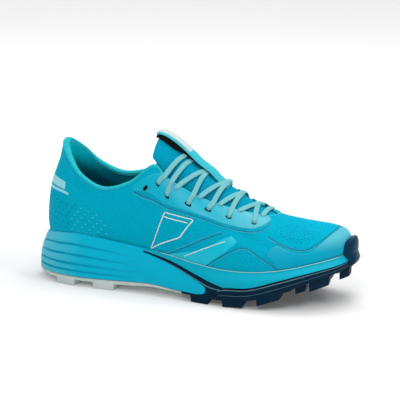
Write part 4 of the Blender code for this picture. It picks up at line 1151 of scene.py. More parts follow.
# %% Punched holes
HEEL_HOLES = (
    (0.10, 0.43), (2.30, 0.525), (3.43, 0.640), (3.93, 0.567), (4.27, 0.253), (3.51, 0.215), (2.57, 0.21),
    (0.69, 0.165), (0.10, 0.266),
)
VAMP_HOLES = ((11.17, 0.836), (12.75, 0.748), (12.92, 0.482), (11.80, 0.413), (11.15, 0.587))
HEEL_PITCH, VAMP_PITCH = (6.4, 4.4), (3.6, 3.0)
HEEL_RADIUS, VAMP_RADIUS = 0.50, 0.40
HEEL_STRETCH, VAMP_STRETCH = (1.35, 1.0), (1.3, 1.0)
hole_looks = [KNIT, HOLE_SHADE, HOLE_HIGHLIGHT]
holes = []
for side in (-1, 1):
    spots = grid_spots(HEEL_HOLES, HEEL_PITCH)
    # Holes towards the front get the painted light, the rest the painted shade
    light = [2 if x > 44.0 + 0.5 * y else 1 for x, y in spots]
    holes.append(cups("heel", spots, HEEL_RADIUS, hole_looks, light, side, stretch=HEEL_STRETCH))
    spots = grid_spots(VAMP_HOLES, VAMP_PITCH)
    dark = [1] * len(spots)
    holes.append(cups("vamp", spots, VAMP_RADIUS, hole_looks, dark, side, stretch=VAMP_STRETCH))
worn(join(holes, "punched_holes"), "knit_upper")

# %% Painted shade in the eyelets
# Near black cups that sit in the facing's holes: painted shade in the eyelets
EYELET_SHADE = film("eyelet_painted_shade", (6, 20, 28), (2, 12, 18), 0.8)
eyes = []
for side in (-1, 1):
    stretch = (EYELET_WIDTH / EYELET_HEIGHT, 1.0)
    eyes.append(cups("eye", flat_mm(EYELETS), EYELET_HEIGHT / 2, [EYELET_SHADE], [0] * len(EYELETS), side,
                     EYELET_RINGS, stretch))
worn(join(eyes, "eyelet_shades"), "welded_film")

# %% [markdown]
# ## Tongue
# The tongue is a thin pad of knit under the laces, ribbed across. A cushion made by cloth
# simulation would swell too much for a pad of 3.6 mm that is stretched over the foot. So its
# sections are arches: the crest line, the half width and the drop of the edges come from a table.
# The pad thins out to its side edges and to its top, so its thickness follows a rounded profile.

# %% The tongue's arches
TONGUE_THICKNESS = 0.0036
TONGUE_ROWS = (
    # x, crest, half width, drop of the edges, arch that the laces hold up in the middle
    (0.790, 0.392, 0.125, 0.028, 0.000), (0.746, 0.430, 0.160, 0.048, 0.000),
    (0.691, 0.500, 0.205, 0.094, 0.006), (0.625, 0.594, 0.235, 0.148, 0.030),
    (0.551, 0.726, 0.250, 0.209, 0.030), (0.485, 0.868, 0.250, 0.262, 0.012),
    (0.434, 0.985, 0.228, 0.262, 0.000), (0.402, 1.045, 0.212, 0.205, 0.000),
    (0.380, 1.080, 0.205, 0.160, 0.000),
)
TONGUE = np.array(TONGUE_ROWS)[::-1].T
RIB_MM = 2.7


def tongue_arch(crest, drop, arch, across):
    """Height of the section, where across runs from -1 to 1."""
    slack = np.clip(1.0 - across**2, 0.0, 1.0)
    return upper_z(crest - drop * across**2 + arch * slack**2)


def tongue_z(x, y):
    """Height of the tongue's outer surface over a point of the plan."""
    crest, half, drop, arch = (np.interp(x / LENGTH, TONGUE[0], TONGUE[k]) for k in (1, 2, 3, 4))
    return tongue_arch(crest, drop, arch, y / (half * BALL_WIDTH))


def tongue_normal(x, y):
    """The direction out of the tongue's surface."""
    step = 0.002
    slope_x = (tongue_z(x + step, y) - tongue_z(x - step, y)) / (2 * step)
    slope_y = (tongue_z(x, y + step) - tongue_z(x, y - step)) / (2 * step)
    normal = np.array([-slope_x, -slope_y, 1.0])
    return normal / np.linalg.norm(normal)


print("the tongue's crest in mm", round(float(upper_z(TONGUE[1].max())) / MM, 1))


# %% The tongue's pad
RIB_DEPTH = 0.00025


def make_tongue():
    """The tongue as two grids that meet in rounded edges."""
    line = curve(TONGUE_ROWS, 12)
    across = np.sin(np.linspace(-pi / 2, pi / 2, 41))
    top = []
    for x, crest, half, drop, arch in line:
        z = tongue_arch(crest, drop, arch, across)
        top.append(np.stack([np.full(len(across), x * LENGTH), across * half * BALL_WIDTH, z], axis=1))
    top = np.array(top)
    normal = np.cross(np.gradient(top, axis=0), np.gradient(top, axis=1))
    normal /= np.linalg.norm(normal, axis=2, keepdims=True)
    normal *= np.sign(normal[:, :, 2:3])
    along = np.linspace(0.0, 1.0, len(line))[:, None]
    run = np.linalg.norm(np.diff(top, axis=0), axis=2).mean(axis=1)
    run = np.concatenate([[0.0], np.cumsum(run)])[:, None] / MM
    swell = np.sqrt(np.clip(1.0 - np.abs(across[None, :])**7, 0.0, 1.0))
    swell = swell * np.sqrt(np.clip(1.0 - np.clip((along - 0.97) / 0.03, 0.0, 1.0)**2, 0.0, 1.0))
    ribs = RIB_DEPTH * np.sin(run * 2 * pi / RIB_MM) * (1.0 - smooth(along, 0.62, 0.72))
    half = TONGUE_THICKNESS / 2
    over = top + normal * (half * swell - half + ribs * swell)[:, :, None]
    below = top - normal * (half * swell + half)[:, :, None]
    return slab("tongue_pad", over, below, TONGUE_CLOTH)


tongue = worn(make_tongue(), "tongue_fabric", "tongue")

# %% [markdown]
# ## Foams
# Two foams make the midsole, with the frame's blade between them, and soft ledges run round the
# heel. Two blocks modelled apart would never meet in one clean side. So each foam is a full loft
# of the sole's side, and both share one surface. A prism with the blade's outline then cuts it
# with a Boolean, as a hot wire cuts a block. The ledges are notches in the loft that fade forward.

# %% Lines of the blade and the ledges
# x as a share of the length, z as a share of the sole's height
BLADE_START = 0.376
BLADE_TOP = (
    (BLADE_START, 1.185), (0.467, 1.010), (0.551, 0.765), (0.599, 0.633), (0.645, 0.515), (0.665, 0.300),
)
BLADE_BOTTOM = (
    (0.572, 0.200), (0.584, 0.290), (0.589, 0.380), (0.587, 0.460), (0.578, 0.530), (0.533, 0.705),
    (0.489, 0.860), (0.410, 1.085), (BLADE_START, 1.150),
)
OUTSOLE_SPLIT = 0.508
# how high each ledge runs up the side at the heel, and how it falls forward
LEDGES = ((0.14, 0.45), (0.33, 0.50), (0.56, 0.40), (0.80, 0.28))
LEDGE_DEPTH, LEDGE_WIDTH, LEDGE_END, SWELL = 0.0014, 0.075, 0.50, 0.0022
print("ledges", len(LEDGES), "deep in mm", LEDGE_DEPTH / MM)


# %% Lofts
def strip_cap(first):
    """Faces across a loop, from its outer side to its inner side."""
    faces = []
    for i in range(HALF):
        corners = (i, i + 1, LOOP - i - 1, (LOOP - i) % LOOP)
        faces.append(tuple(dict.fromkeys(first + c for c in corners)))
    return faces


def loft(name, loops, look, look_of_cell=None):
    """Loops skinned in turn and closed at both ends."""
    faces, _ = grid_faces(len(loops), LOOP, False, True)
    caps = strip_cap(0) + strip_cap((len(loops) - 1) * LOOP)
    looks = None
    if look_of_cell is not None:
        looks = np.concatenate([np.ravel(look_of_cell), np.zeros(len(caps), int)])
    return mesh_piece(name, np.vstack(loops), faces.tolist() + caps, look, None, 38, looks)


def sole_line(z, inset_by=0.0):
    """The sole's outline at a height, moved inwards."""
    x, y = around(SOLE[0]) * LENGTH, sides(SOLE[1], SOLE[2])
    points = np.stack([x, y, np.broadcast_to(z, (LOOP,))], axis=1)
    return points - outwards(x, y) * inset_by


print("the sole is", round(float(np.ptp(sole_line(0.0)[:, 1])) / MM, 1), "mm wide")


# %% Cuts
def prism(name, outline, wide=BALL_WIDTH):
    """A cutter: an outline of the side view in metres, run across the shoe."""
    count = len(outline)
    vertices = [(x, y, z) for y in (-wide, wide) for x, z in outline]
    walls = [(i, (i + 1) % count, count + (i + 1) % count, count + i) for i in range(count)]
    faces = [tuple(range(count)), tuple(range(count, 2 * count))] + walls
    return mesh_piece(name, vertices, faces, [])


def cut(piece, cutter):
    """Keeps what lies inside a cutter, and takes the cutter away."""
    bpy.ops.object.select_all(action="DESELECT")
    bpy.context.view_layer.objects.active = piece
    modifier = piece.modifiers.new("cut", "BOOLEAN")
    modifier.operation, modifier.solver, modifier.object = "INTERSECT", "EXACT", cutter
    bpy.ops.object.modifier_apply(modifier="cut")
    bpy.data.objects.remove(cutter)
    work = bmesh.new()
    work.from_mesh(piece.data)
    bmesh.ops.dissolve_degenerate(work, dist=1e-6, edges=work.edges)
    bmesh.ops.recalc_face_normals(work, faces=work.faces)
    work.to_mesh(piece.data)
    work.free()
    piece.data.shade_smooth()
    piece.data.set_sharp_from_angle(angle=radians(38))
    return piece


print("the cutters are", 2 * BALL_WIDTH / MM, "mm wide")

# %% The sole's seam and hollow
BASE = around(SOLE[6]) * SOLE_HEIGHT
SEAM = np.maximum(around(SOLE[5]) * SOLE_HEIGHT, BASE + OUTSOLE_SHEET)
WALL_LOOPS = 48


def cup_loops():
    """The hollow that holds the upper."""
    bottom = last.foot + last.out * GAP
    bottom[:, 2] = last.footbed
    rows = np.arange(LOOP) / STEPS
    edge = last.bare(rows, last.border_v) + last.normal(rows, last.border_v) * GAP
    return [edge, bottom]


print("seam over the base at most in mm", round(float((SEAM - BASE).max()) / MM, 1))


# %% The side with its ledges
def ledge_push(share, x):
    """How deep the heel's ledges are cut at a share of the side's height, from 0 to 1."""
    depth = np.zeros(np.broadcast(share, x).shape)
    for level, fall in LEDGES:
        away = np.abs(share - level * (1.0 - fall * x)) / LEDGE_WIDTH
        depth = depth + (1.0 - smooth(away, 0.0, 1.0))**1.5
    return depth * (1.0 - smooth(x, 0.14, LEDGE_END))


def side_wall(seam, ledged, inset_by=0.0):
    """Loops up the sole's side, from the seam to the rounded lip beside the upper."""
    low = sole_line(seam, inset_by)
    rows = np.arange(LOOP) / STEPS
    border = last.bare(rows, last.border_v)
    top = border + last.out * (GAP + MIDSOLE_LIP - inset_by)
    top[:, 2] = last.border - 0.9 * MIDSOLE_LIP
    out = outwards(low[:, 0], low[:, 1])
    x = low[:, 0] / LENGTH
    toe = 1.0 - smooth(x, 0.80, 0.98)
    loops = []
    for share in np.linspace(0.0, 1.0, WALL_LOOPS):
        push = 4.0 * share * (1.0 - share) * SWELL * toe
        if ledged:
            push = push - LEDGE_DEPTH * ledge_push(share, x)
        loops.append(low + (top - low) * share + out * push[:, None])
    for back, rise in ((0.30, 0.45), (0.75, 0.80), (1.15, 0.90)):
        lip = border + last.out * (GAP + MIDSOLE_LIP * max(1.0 - back, 0.02) - inset_by * (1 - back))
        lip[:, 2] = last.border - 0.9 * MIDSOLE_LIP * (1.0 - rise)
        loops.append(lip)
    return loops


print("deepest ledge in mm", round(float(ledge_push(0.14, 0.0)) * LEDGE_DEPTH / MM, 2))


# %% Lines beside a line
def beside(line, distance, steps=8):
    """A smooth line of the side view in metres, moved to its left."""
    points = curve(np.array(line) * [LENGTH, SOLE_HEIGHT], steps)
    run = np.gradient(points, axis=0)
    run /= np.linalg.norm(run, axis=1, keepdims=True)
    return points + np.stack([-run[:, 1], run[:, 0]], axis=1) * distance


print("points along the blade's top", len(beside(BLADE_TOP, 0.0)))

# %% [markdown]
# ### The foam's painted highlight
# Where the forefoot's foam is trimmed along the upper, its edge catches the light as a pale line,
# and a pale strip paints that highlight in.
# A curve with a round bevel would make a wire. A flat section that is swept along points, with a
# direction for its flat side, makes a strip, and the same sweep makes the strap and the laces.

# %% A swept band
def sweep(name, points, normals, section, looks, scale=None, look_of_side=None):
    """A closed section in metres swept along points, and closed at both ends."""
    points, normals = np.asarray(points, float), np.asarray(normals, float)
    direction = np.gradient(points, axis=0)
    direction /= np.linalg.norm(direction, axis=1, keepdims=True)
    across = np.cross(direction, normals)
    across /= np.linalg.norm(across, axis=1, keepdims=True)
    normals = np.cross(across, direction)
    scale = np.ones((len(points), 2)) if scale is None else np.asarray(scale)
    grid = points[:, None] + across[:, None] * (section[None, :, :1] * scale[:, None, :1]) \
        + normals[:, None] * (section[None, :, 1:] * scale[:, None, 1:])
    rows, columns = grid.shape[:2]
    faces, corners = grid_faces(rows, columns, False, True)
    uv = grid_uv(grid, corners)
    caps = [tuple(range(columns)), tuple(range((rows - 1) * columns, rows * columns))]
    uv = np.vstack([uv, np.zeros((2 * columns, 2))])
    sides_of = None
    if look_of_side is not None:
        sides_of = np.concatenate([np.asarray(look_of_side)[corners[0][1]], [0, 0]])
    return mesh_piece(name, grid.reshape(-1, 3), faces.tolist() + caps, looks, uv, 60, sides_of)


def band_section(width, height, power=3.0, count=20):
    """A flat band's section with rounded edges."""
    angle = np.arange(count) * 2 * pi / count
    circle = np.stack([np.cos(angle), np.sin(angle)], axis=1)
    return np.sign(circle) * np.abs(circle)**(2 / power) * [width / 2, height / 2]


print("corners of a band's section", len(band_section(1.0, 1.0)))

# %% The foam's painted highlight
LIP_HIGHLIGHT = foam("lip_painted_highlight", (150, 216, 220), (120, 204, 212))
LIP_WIDTH, LIP_HEIGHT = 0.0008, 0.0005


def make_lip_highlights():
    """A pale strip along the trimmed edge of the forefoot foam: a painted highlight along the upper."""
    beads = []
    for rows in (np.linspace(6.0, 13.4, 150), np.linspace(22.0, 14.6, 150)):
        v = last.mix(last.border_v, rows)
        out = last.mix(last.out, rows)
        points = last.bare(rows, v) + out * (GAP + 0.45 * MIDSOLE_LIP)
        points[:, 2] = last.mix(last.border, rows) + 0.00005
        normals = out + np.array([0.0, 0.0, 1.0])
        size = np.clip(np.minimum(np.linspace(0, 12, 150), np.linspace(12, 0, 150)) + 0.2, 0.2, 1.0)
        section = band_section(LIP_WIDTH, LIP_HEIGHT, 2.0, 8)
        beads.append(sweep("lip", points, normals, section, LIP_HIGHLIGHT, np.stack([size, size], axis=1)))
    return join(beads, "foam_lip_lines")


worn(make_lip_highlights(), "foam_forefoot")

# %% [markdown]
# ### The two foams
# A single foam could be painted in two tones, but the blade really parts it. So the same loft, with
# the hollow for the foot, is made twice. One is cut to what lies behind and under the blade, the
# other to what lies over it and in front, and a gap of 0.3 mm stays between foam and blade.

# %% The two foams
def make_foams():
    """The heel's foam with its ledges, and the forefoot's foam over the blade."""
    tucked = RIM_WALL + GAP
    under = [sole_line(BASE + OUTSOLE_SHEET + GAP, tucked), sole_line(SEAM + GAP, tucked)]
    loops = under + side_wall(SEAM + GAP, True) + cup_loops()
    share = (np.arange(WALL_LOOPS)[:, None] - 0.5) / (WALL_LOOPS - 1)
    looks = np.zeros((len(loops) - 1, LOOP), int)
    # Cells deep in a groove take the darker foam, painted shade in the grooves
    looks[1:1 + WALL_LOOPS] = ledge_push(share, (under[0][:, 0] / LENGTH)[None, :]) > 0.55
    heel = loft("heel_foam", loops, [HEEL_FOAM, HEEL_GROOVE_SHADE], looks)
    fore = loft("forefoot_foam", under + side_wall(SEAM + GAP, False) + cup_loops(), FORE_FOAM)
    start, tall, far = BLADE_START * LENGTH, 2.5 * SOLE_HEIGHT, 1.1 * LENGTH
    below = beside(BLADE_BOTTOM, GAP).tolist()
    below = [(-0.02, -0.01), (below[0][0], -0.01)] + below + [(start - GAP, tall), (-0.02, tall)]
    above = beside(BLADE_TOP, GAP)
    above[0, 0] = start
    above = above.tolist() + [(float(above[-1, 0]), -0.01), (far, -0.01), (far, tall), (start, tall)]
    return cut(heel, prism("heel_cut", below)), cut(fore, prism("fore_cut", above))


heel_foam, fore_foam = make_foams()
worn(heel_foam, "foam_heel", "midsole_heel")
worn(fore_foam, "foam_forefoot", "midsole_forefoot")

# %% [markdown]
# ## Outsoles
# The outsole is a thin rubber cup under each foam, pale at the heel and navy at the forefoot. A
# box with a bevelled edge would be the wrong curve everywhere, so it is lofted from the sole's own
# outline at rising heights. Its rim has a rounded lower edge, a fine groove round the middle and a
# small bevel at the top. Towards the toe the groove's edge and the bevel's lower half are painted
# pale as highlights, and the bevel's upper half and the rim's top are painted near black as the
# shadow under the foam. The blade of the frame is part of the forefoot rubber and shows between
# the two foams.

# %% Outsole cups
RIM_BEVEL, EDGE_LINES_FROM = 0.0026, 0.625


def outsole_cup(name, looks, front):
    """One half of the rubber cup, cut at the arch."""
    rim = SEAM - BASE
    loops = [sole_line(BASE, EDGE_BEVEL), sole_line(BASE + 0.25 * EDGE_BEVEL, 0.55 * EDGE_BEVEL)]
    loops.append(sole_line(BASE + 0.65 * EDGE_BEVEL, 0.18 * EDGE_BEVEL))
    bevel = np.minimum(RIM_BEVEL, rim * 0.2)
    low = 0.65 * EDGE_BEVEL
    for share, back in ((0.25, 0.0), (0.45, 0.0), (0.50, 0.0004), (0.55, 0.0), (0.85, 0.0)):
        loops.append(sole_line(BASE + low + (rim - bevel - low) * share, back))
    for height, back in ((SEAM - bevel, 0.0001), (SEAM - 0.62 * bevel, 0.0006), (SEAM, 0.0012)):
        loops.append(sole_line(height, back))
    loops += [sole_line(SEAM, RIM_WALL), sole_line(BASE + OUTSOLE_SHEET, RIM_WALL)]
    # Rows of 1 paint highlights on the groove's edge and the bevel's lower half; rows of 2 paint the shadow
    # under the foam on the bevel's upper half and the rim's top
    look_of_loop = np.array([0, 0, 0, 0, 1, 0, 0, 0, 1, 2, 2, 0])[:, None]
    look_of_cell = np.where(loops[0][None, :, 0] > EDGE_LINES_FROM * LENGTH, look_of_loop, 0)
    cup = loft(name, loops, looks, look_of_cell if front else None)
    split, low, high, far = OUTSOLE_SPLIT * LENGTH, -0.02, 0.1, 1.1 * LENGTH
    box = [(split + GAP / 2, low), (far, low), (far, high), (split + GAP / 2, high)]
    if not front:
        box = [(-0.02, low), (split - GAP / 2, low), (split - GAP / 2, high), (-0.02, high)]
    return cut(cup, prism("split", box))


worn(outsole_cup("heel_outsole_cup", PALE, False), "rubber_pale", "outsole_heel")
rim_looks = [NAVY, NAVY_HIGHLIGHT, NAVY_SHADOW]
worn(outsole_cup("forefoot_outsole_cup", rim_looks, True), "rubber_navy", "outsole_forefoot")


# %% The frame's blade
def make_blade():
    """The side of the sole, cut to the blade's outline."""
    shell = [sole_line(BASE + 0.3 * OUTSOLE_SHEET, EDGE_BEVEL)] + side_wall(SEAM, False, 0.0004)
    blade = loft("frame_blade", shell + cup_loops(), NAVY)
    lines = [beside(BLADE_TOP, 0.0), beside(BLADE_BOTTOM, 0.0)]
    return cut(blade, prism("blade_cut", np.vstack(lines).tolist()))


blade = worn(make_blade(), "rubber_navy")


# %% The blade's painted highlight
def on_side(piece, x, z, side):
    """The point and the normal where a line across the shoe meets the piece's side."""
    start = Vector((x + SHIFT[0], side * 0.1, z))
    hit, point, normal, _ = piece.ray_cast(start, Vector((0.0, -side, 0.0)))
    return (np.array(point) - SHIFT, np.array(normal)) if hit else None


# the painted highlight runs on along the rim's upper edge; shares of the length and of the sole's height
BLADE_EDGE = (
    (0.425, 1.050), (0.489, 0.868), (0.533, 0.716), (0.575, 0.566), (0.604, 0.480), (0.638, 0.438),
)
EDGE_HIGHLIGHT_WIDTH, EDGE_HIGHLIGHT_HEIGHT = 0.0010, 0.0005


def make_blade_highlights(blade):
    """A thin pale bead along the lower edge of the blade, on each side: a painted highlight."""
    for side, word in ((-1, "outer"), (1, "inner")):
        found = [on_side(blade, x * LENGTH, z * SOLE_HEIGHT, side) for x, z in curve(BLADE_EDGE, 8)]
        points, normals = (np.array(part) for part in zip(*[pair for pair in found if pair]))
        size = np.clip(np.linspace(0.3, 1.6, len(points)), 0.0, 1.0)
        section = band_section(EDGE_HIGHLIGHT_WIDTH, EDGE_HIGHLIGHT_HEIGHT, 2.0, 8)
        bead = sweep("blade_highlight_" + word, points, normals, section, NAVY_HIGHLIGHT, np.stack([size, size], 1))
        worn(bead, "rubber_navy")


make_blade_highlights(blade)

# %% [markdown]
# ## Lugs
# A lug is a tapered block that bites into soft ground. An array of equal blocks would be quick, but
# a real tread turns with the outline, and its edge lugs end flush with the rim. So each starts as a
# cube, its corners are moved to the lug's plan and to the slope of the sole, and its edges get a
# small bevel, as they have when rubber leaves a mould. The lugs of one rubber are one piece.

# %% Places of the lugs
# from x, to x, from across, to across, skew: shares of the length and of the half width
EDGE_LUGS = (
    (0.090, 0.158, 0.60, 1.003, 0.012), (0.216, 0.287, 0.60, 1.003, 0.012),
    (0.538, 0.599, 0.62, 1.003, -0.012), (0.640, 0.707, 0.62, 1.003, -0.012),
    (0.744, 0.816, 0.60, 1.003, -0.012), (0.891, 0.944, 0.45, 1.000, -0.010),
)
INNER_LUGS = (
    (0.128, 0.180, 0.06, 0.42, 0.020), (0.200, 0.250, 0.06, 0.42, 0.020),
    (0.268, 0.310, 0.06, 0.42, 0.020), (0.560, 0.612, 0.08, 0.46, -0.020),
    (0.640, 0.692, 0.08, 0.46, -0.020), (0.716, 0.768, 0.08, 0.46, -0.020),
    (0.790, 0.836, 0.08, 0.42, -0.018), (0.850, 0.880, 0.30, 0.80, -0.012),
)
CENTRE_LUGS = (
    (0.014, 0.050, -0.60, 0.60, 0.0), (0.900, 0.930, -0.22, 0.24, 0.0),
    (0.960, 0.986, -0.55, 0.60, 0.0),
)
print("lugs at the edge, further in and in the middle:", len(EDGE_LUGS), len(INNER_LUGS), len(CENTRE_LUGS))


# %% Plans of the lugs
def half_width(x, side):
    """How far the sole reaches out at x, on one side."""
    return np.interp(x / LENGTH, SOLE[0], np.abs(SOLE[1 if side < 0 else 2])) * BALL_WIDTH


def lug_corners(x0, x1, f0, f1, skew):
    """The four corners of a lug's plan, with the sole's base height at each."""
    corners = []
    for x, f in ((x0, f0), (x1, f0), (x1, f1), (x0, f1)):
        x = (x + skew * (1.0 - abs(f))) * LENGTH
        side = -1.0 if f < 0 else 1.0
        base = np.interp(x / LENGTH, SOLE[0], SOLE[6]) * SOLE_HEIGHT
        corners.append((x, side * abs(f) * half_width(x, side), base))
    return np.array(corners)


print("first lug's corners in mm", (lug_corners(*EDGE_LUGS[0])[:, :2] / MM).round(1).tolist())

# %% Lug blocks
TOE_LUG_MORE, LUG_ROOT, LUG_TAPER, LUG_BEVEL = 0.0018, 1.1, 0.09, 0.0005
SQUARE = ((-1, -1), (1, -1), (1, 1), (-1, 1))


def make_lug(row, look):
    """A cube, shaped to a lug and bevelled."""
    corners = lug_corners(*row)
    centre = corners[:, :2].mean(axis=0)
    bpy.ops.object.select_all(action="DESELECT")
    bpy.ops.mesh.primitive_cube_add(size=1.0)
    lug = bpy.context.object
    plan = corners[:, :2] - centre
    plan /= np.abs(plan).max(axis=0)
    nearest = {corner: np.argmin(np.hypot(*(plan - corner).T)) for corner in SQUARE}
    for vertex in lug.data.vertices:
        x, y, base = corners[nearest[(1 if vertex.co.x > 0 else -1, 1 if vertex.co.y > 0 else -1)]]
        if vertex.co.z < 0:
            x, y = np.array([x, y]) + (centre - [x, y]) * LUG_TAPER
            z = max(base - LUG_HEIGHT - TOE_LUG_MORE * smooth(x / LENGTH, 0.80, 0.94), 0.0)
        else:
            z = base + LUG_ROOT * OUTSOLE_SHEET
        vertex.co = Vector((x, y, z)) + Vector(SHIFT)
    bpy.ops.object.mode_set(mode="EDIT")
    bpy.ops.mesh.select_all(action="SELECT")
    bpy.ops.mesh.bevel(offset=LUG_BEVEL, segments=2)
    bpy.ops.mesh.normals_make_consistent(inside=False)
    bpy.ops.object.mode_set(mode="OBJECT")
    lug.data.materials.append(look)
    bpy.ops.object.shade_smooth_by_angle(angle=radians(35))
    return lug


print("a lug is", LUG_HEIGHT / MM, "mm high")

# %% Lugs under the heel and the forefoot
paired = EDGE_LUGS + INNER_LUGS
rows = [(x0, x1, s * f0, s * f1, skew) for s in (-1, 1) for x0, x1, f0, f1, skew in paired]
rows += list(CENTRE_LUGS)
heel_lugs = [make_lug(row, PALE) for row in rows if row[0] < OUTSOLE_SPLIT]
fore_lugs = [make_lug(row, NAVY) for row in rows if row[0] > OUTSOLE_SPLIT]
print("lugs", len(heel_lugs), len(fore_lugs))
worn(join(heel_lugs, "heel_lugs"), "rubber_pale")
worn(join(fore_lugs, "forefoot_lugs"), "rubber_navy")

# %% [markdown]
# ## Toe bumper
# A tongue of thick rubber climbs the toe and guards it from roots. A block could be bent over the
# toe, but it would not lie on two surfaces at once. So it is a curved slab: rows of points follow
# the sole and then the upper, and a rounded profile across gives it its thickness and soft edges.

# %% Toe bumper
BUMPER_WIDTH, BUMPER_SIDE, BUMPER_TOP = 0.0245, 0.046, 0.215
BUMPER_THICKNESS, OVERLAY = 0.0027, 0.0008
# level: 0 at the seam, 1 at the border, 2 at the top; share of the width; share of the thickness
BUMPER_ROWS = (
    (-1.15, 0.66, 0.50), (-0.55, 0.82, 1.50), (0.00, 0.88, 1.60), (1.00, 1.00, 1.60),
    (1.20, 1.00, 1.60), (1.60, 0.96, 1.50), (1.86, 0.84, 1.30), (2.00, 0.60, 0.90),
)


def across_toe(loop, y):
    """Points of a closed loop near the toe, at the given y."""
    near = loop[HALF - 3 * STEPS:HALF + 3 * STEPS + 1]
    return np.stack([np.interp(y, near[:, 1], near[:, k]) for k in range(3)], axis=1)


def make_bumper():
    """The bumper's outer and inner rows, from the sole up to its top."""
    rows = np.arange(LOOP) / STEPS
    lip = last.bare(rows, last.border_v) + last.out * (2 * GAP + MIDSOLE_LIP)
    across = np.sin(np.linspace(-pi / 2, pi / 2, 25))
    edge = np.sqrt(np.clip(1.0 - np.abs(across)**10, 0.0, 1.0))[:, None]
    top, under = [], []
    for level, width, stand in curve(BUMPER_ROWS, 6):
        y = across * width * BUMPER_WIDTH / 2 + BUMPER_SIDE * BALL_WIDTH
        thick = stand * BUMPER_THICKNESS
        if level < 0.0:
            inner = sole_line(SEAM + level * (last.border - SEAM), RIM_WALL * 0.5)
            outer = inner + last.out * (RIM_WALL * 0.5 + thick)
        elif level <= 1.0:
            low = sole_line(SEAM, -2 * GAP)
            inner = low + (lip - low) * level
            outer = inner + last.out * thick
        else:
            v = last.border_v + (level - 1.0) * (BUMPER_TOP - last.border_v)
            inner = last.skin(rows, v, np.full(LOOP, 0.0002))
            outer = last.skin(rows, v, np.full(LOOP, 3 * GAP + OVERLAY + thick))
        a, b = across_toe(inner, y), across_toe(outer, y)
        top.append(a + (b - a) * (0.25 + 0.75 * edge))
        under.append(a)
    return slab("toe_bumper", np.array(top), np.array(under), BUMPER, 45)


worn(make_bumper(), "rubber_navy")

# %% [markdown]
# ## Insole
# A thin foam sole under cloth lies on the footbed. Only its top shows through the collar, but a
# bare plane would meet the wall like paper. So it is a low loft inside the upper with a rounded
# upper edge, and its cloth is the coarsest knit of the shoe.

# %% Insole
INSOLE_CLOTH = knit("insole_cloth", (10, 62, 92), (4, 44, 70), pitch=1.5, depth=0.25, roughness=0.88)
# rise over the footbed, and how far the loop steps in
INSOLE_LOOPS = ((0.0, 0.0), (0.0018, 0.0), (0.0032, 0.0006), (0.0038, 0.0022))


def make_insole():
    """The insole's side in a few loops, and its top in strips from side to side."""
    loops = []
    for rise, back in INSOLE_LOOPS:
        loop = last.foot - last.out * (WALL + 2 * GAP + back)
        loop[:, 2] = last.footbed + GAP + rise
        loops.append(loop)
    faces, _ = grid_faces(len(loops), LOOP, False, True)
    every = faces.tolist() + strip_cap(0) + strip_cap((len(loops) - 1) * LOOP)
    vertices = np.vstack(loops)
    uv = np.vstack([vertices[list(face)][:, :2] / MM for face in every])
    return mesh_piece("insole_pad", vertices, every, INSOLE_CLOTH, uv, crease=50)


worn(make_insole(), "insole_fabric", "insole")
print("insole is", INSOLE_LOOPS[-1][0] / MM, "mm thick")

# %% [markdown]
# ## Pull strap
# A loop of webbing lies over the tongue's crest and ends in a fold at its top. A cloth simulation
# would let it sag, but the real one is stiff and sewn down. So it is a flat band swept along a
# line of the side view. The webbing's ribs run along it. Its underside is painted black, and a
# black block fills the gap under it, as painted shade between strap and tongue.

# %% Webbing
def webbing(name, tone, dark):
    """Ribs along the band, crossed by fine picks."""
    stuff = Stuff(name, 0.72, specular_ior_level=0.15)
    cloth = stuff.place(True)
    ribs = stuff.waves(cloth, 1 / 1.1)
    picks = stuff.waves(cloth, 1 / 0.6, 1)
    weave = stuff.math("MULTIPLY", ribs, picks)
    yarn = stuff.noise(cloth, 1.2, 2.0)
    stuff.tones(linear(*tone), linear(*dark), stuff.math("MULTIPLY_ADD", weave, -0.4, yarn))
    stuff.rough(yarn, 0.64, 0.8)
    stuff.bump(weave, 0.18, 0.7)
    return stuff.material


WEBBING = webbing("webbing_aqua", (66, 192, 204), (30, 166, 186))
# Black webbing: painted shade under the strap
WEBBING_SHADE = webbing("webbing_painted_shade", (10, 12, 14), (3, 4, 5))
print("webbing looks", WEBBING.name, WEBBING_SHADE.name)

# %% The strap's line
# x as a share of the length, z as a share of the upper's height
STRAP_LINE = (
    (0.606, 0.661), (0.590, 0.692), (0.570, 0.738), (0.550, 0.797), (0.532, 0.832), (0.508, 0.882),
    (0.480, 0.955), (0.445, 1.038), (0.410, 1.100), (0.386, 1.120), (0.3735, 1.110), (0.3725, 1.098),
)
STRAP_WIDTH, STRAP_THICKNESS, STRAP_ARCH = 0.015, 0.0014, 0.0022


def strap_path():
    """Points and normals of the strap's underside."""
    line = curve(STRAP_LINE, 7)
    points = np.stack([line[:, 0] * LENGTH, np.zeros(len(line)), upper_z(line[:, 1])], axis=1)
    run = np.gradient(points, axis=0)
    normal = np.stack([run[:, 2], np.zeros(len(line)), -run[:, 0]], axis=1)
    return points, normal / np.linalg.norm(normal, axis=1, keepdims=True)


def arched(section):
    """The strap's section, bent down at its sides over the tongue."""
    share = section[:, 0] / (STRAP_WIDTH / 2)
    return np.stack([section[:, 0], section[:, 1] - STRAP_ARCH * share**2], axis=1)


print("points along the strap", len(strap_path()[0]))

# %% Strap, patch and painted shade
PATCH = film("patch_film", (188, 204, 204), (172, 192, 194), 0.6)
PATCH_PART, SHADE_PART = slice(42, 70), slice(22, 72)


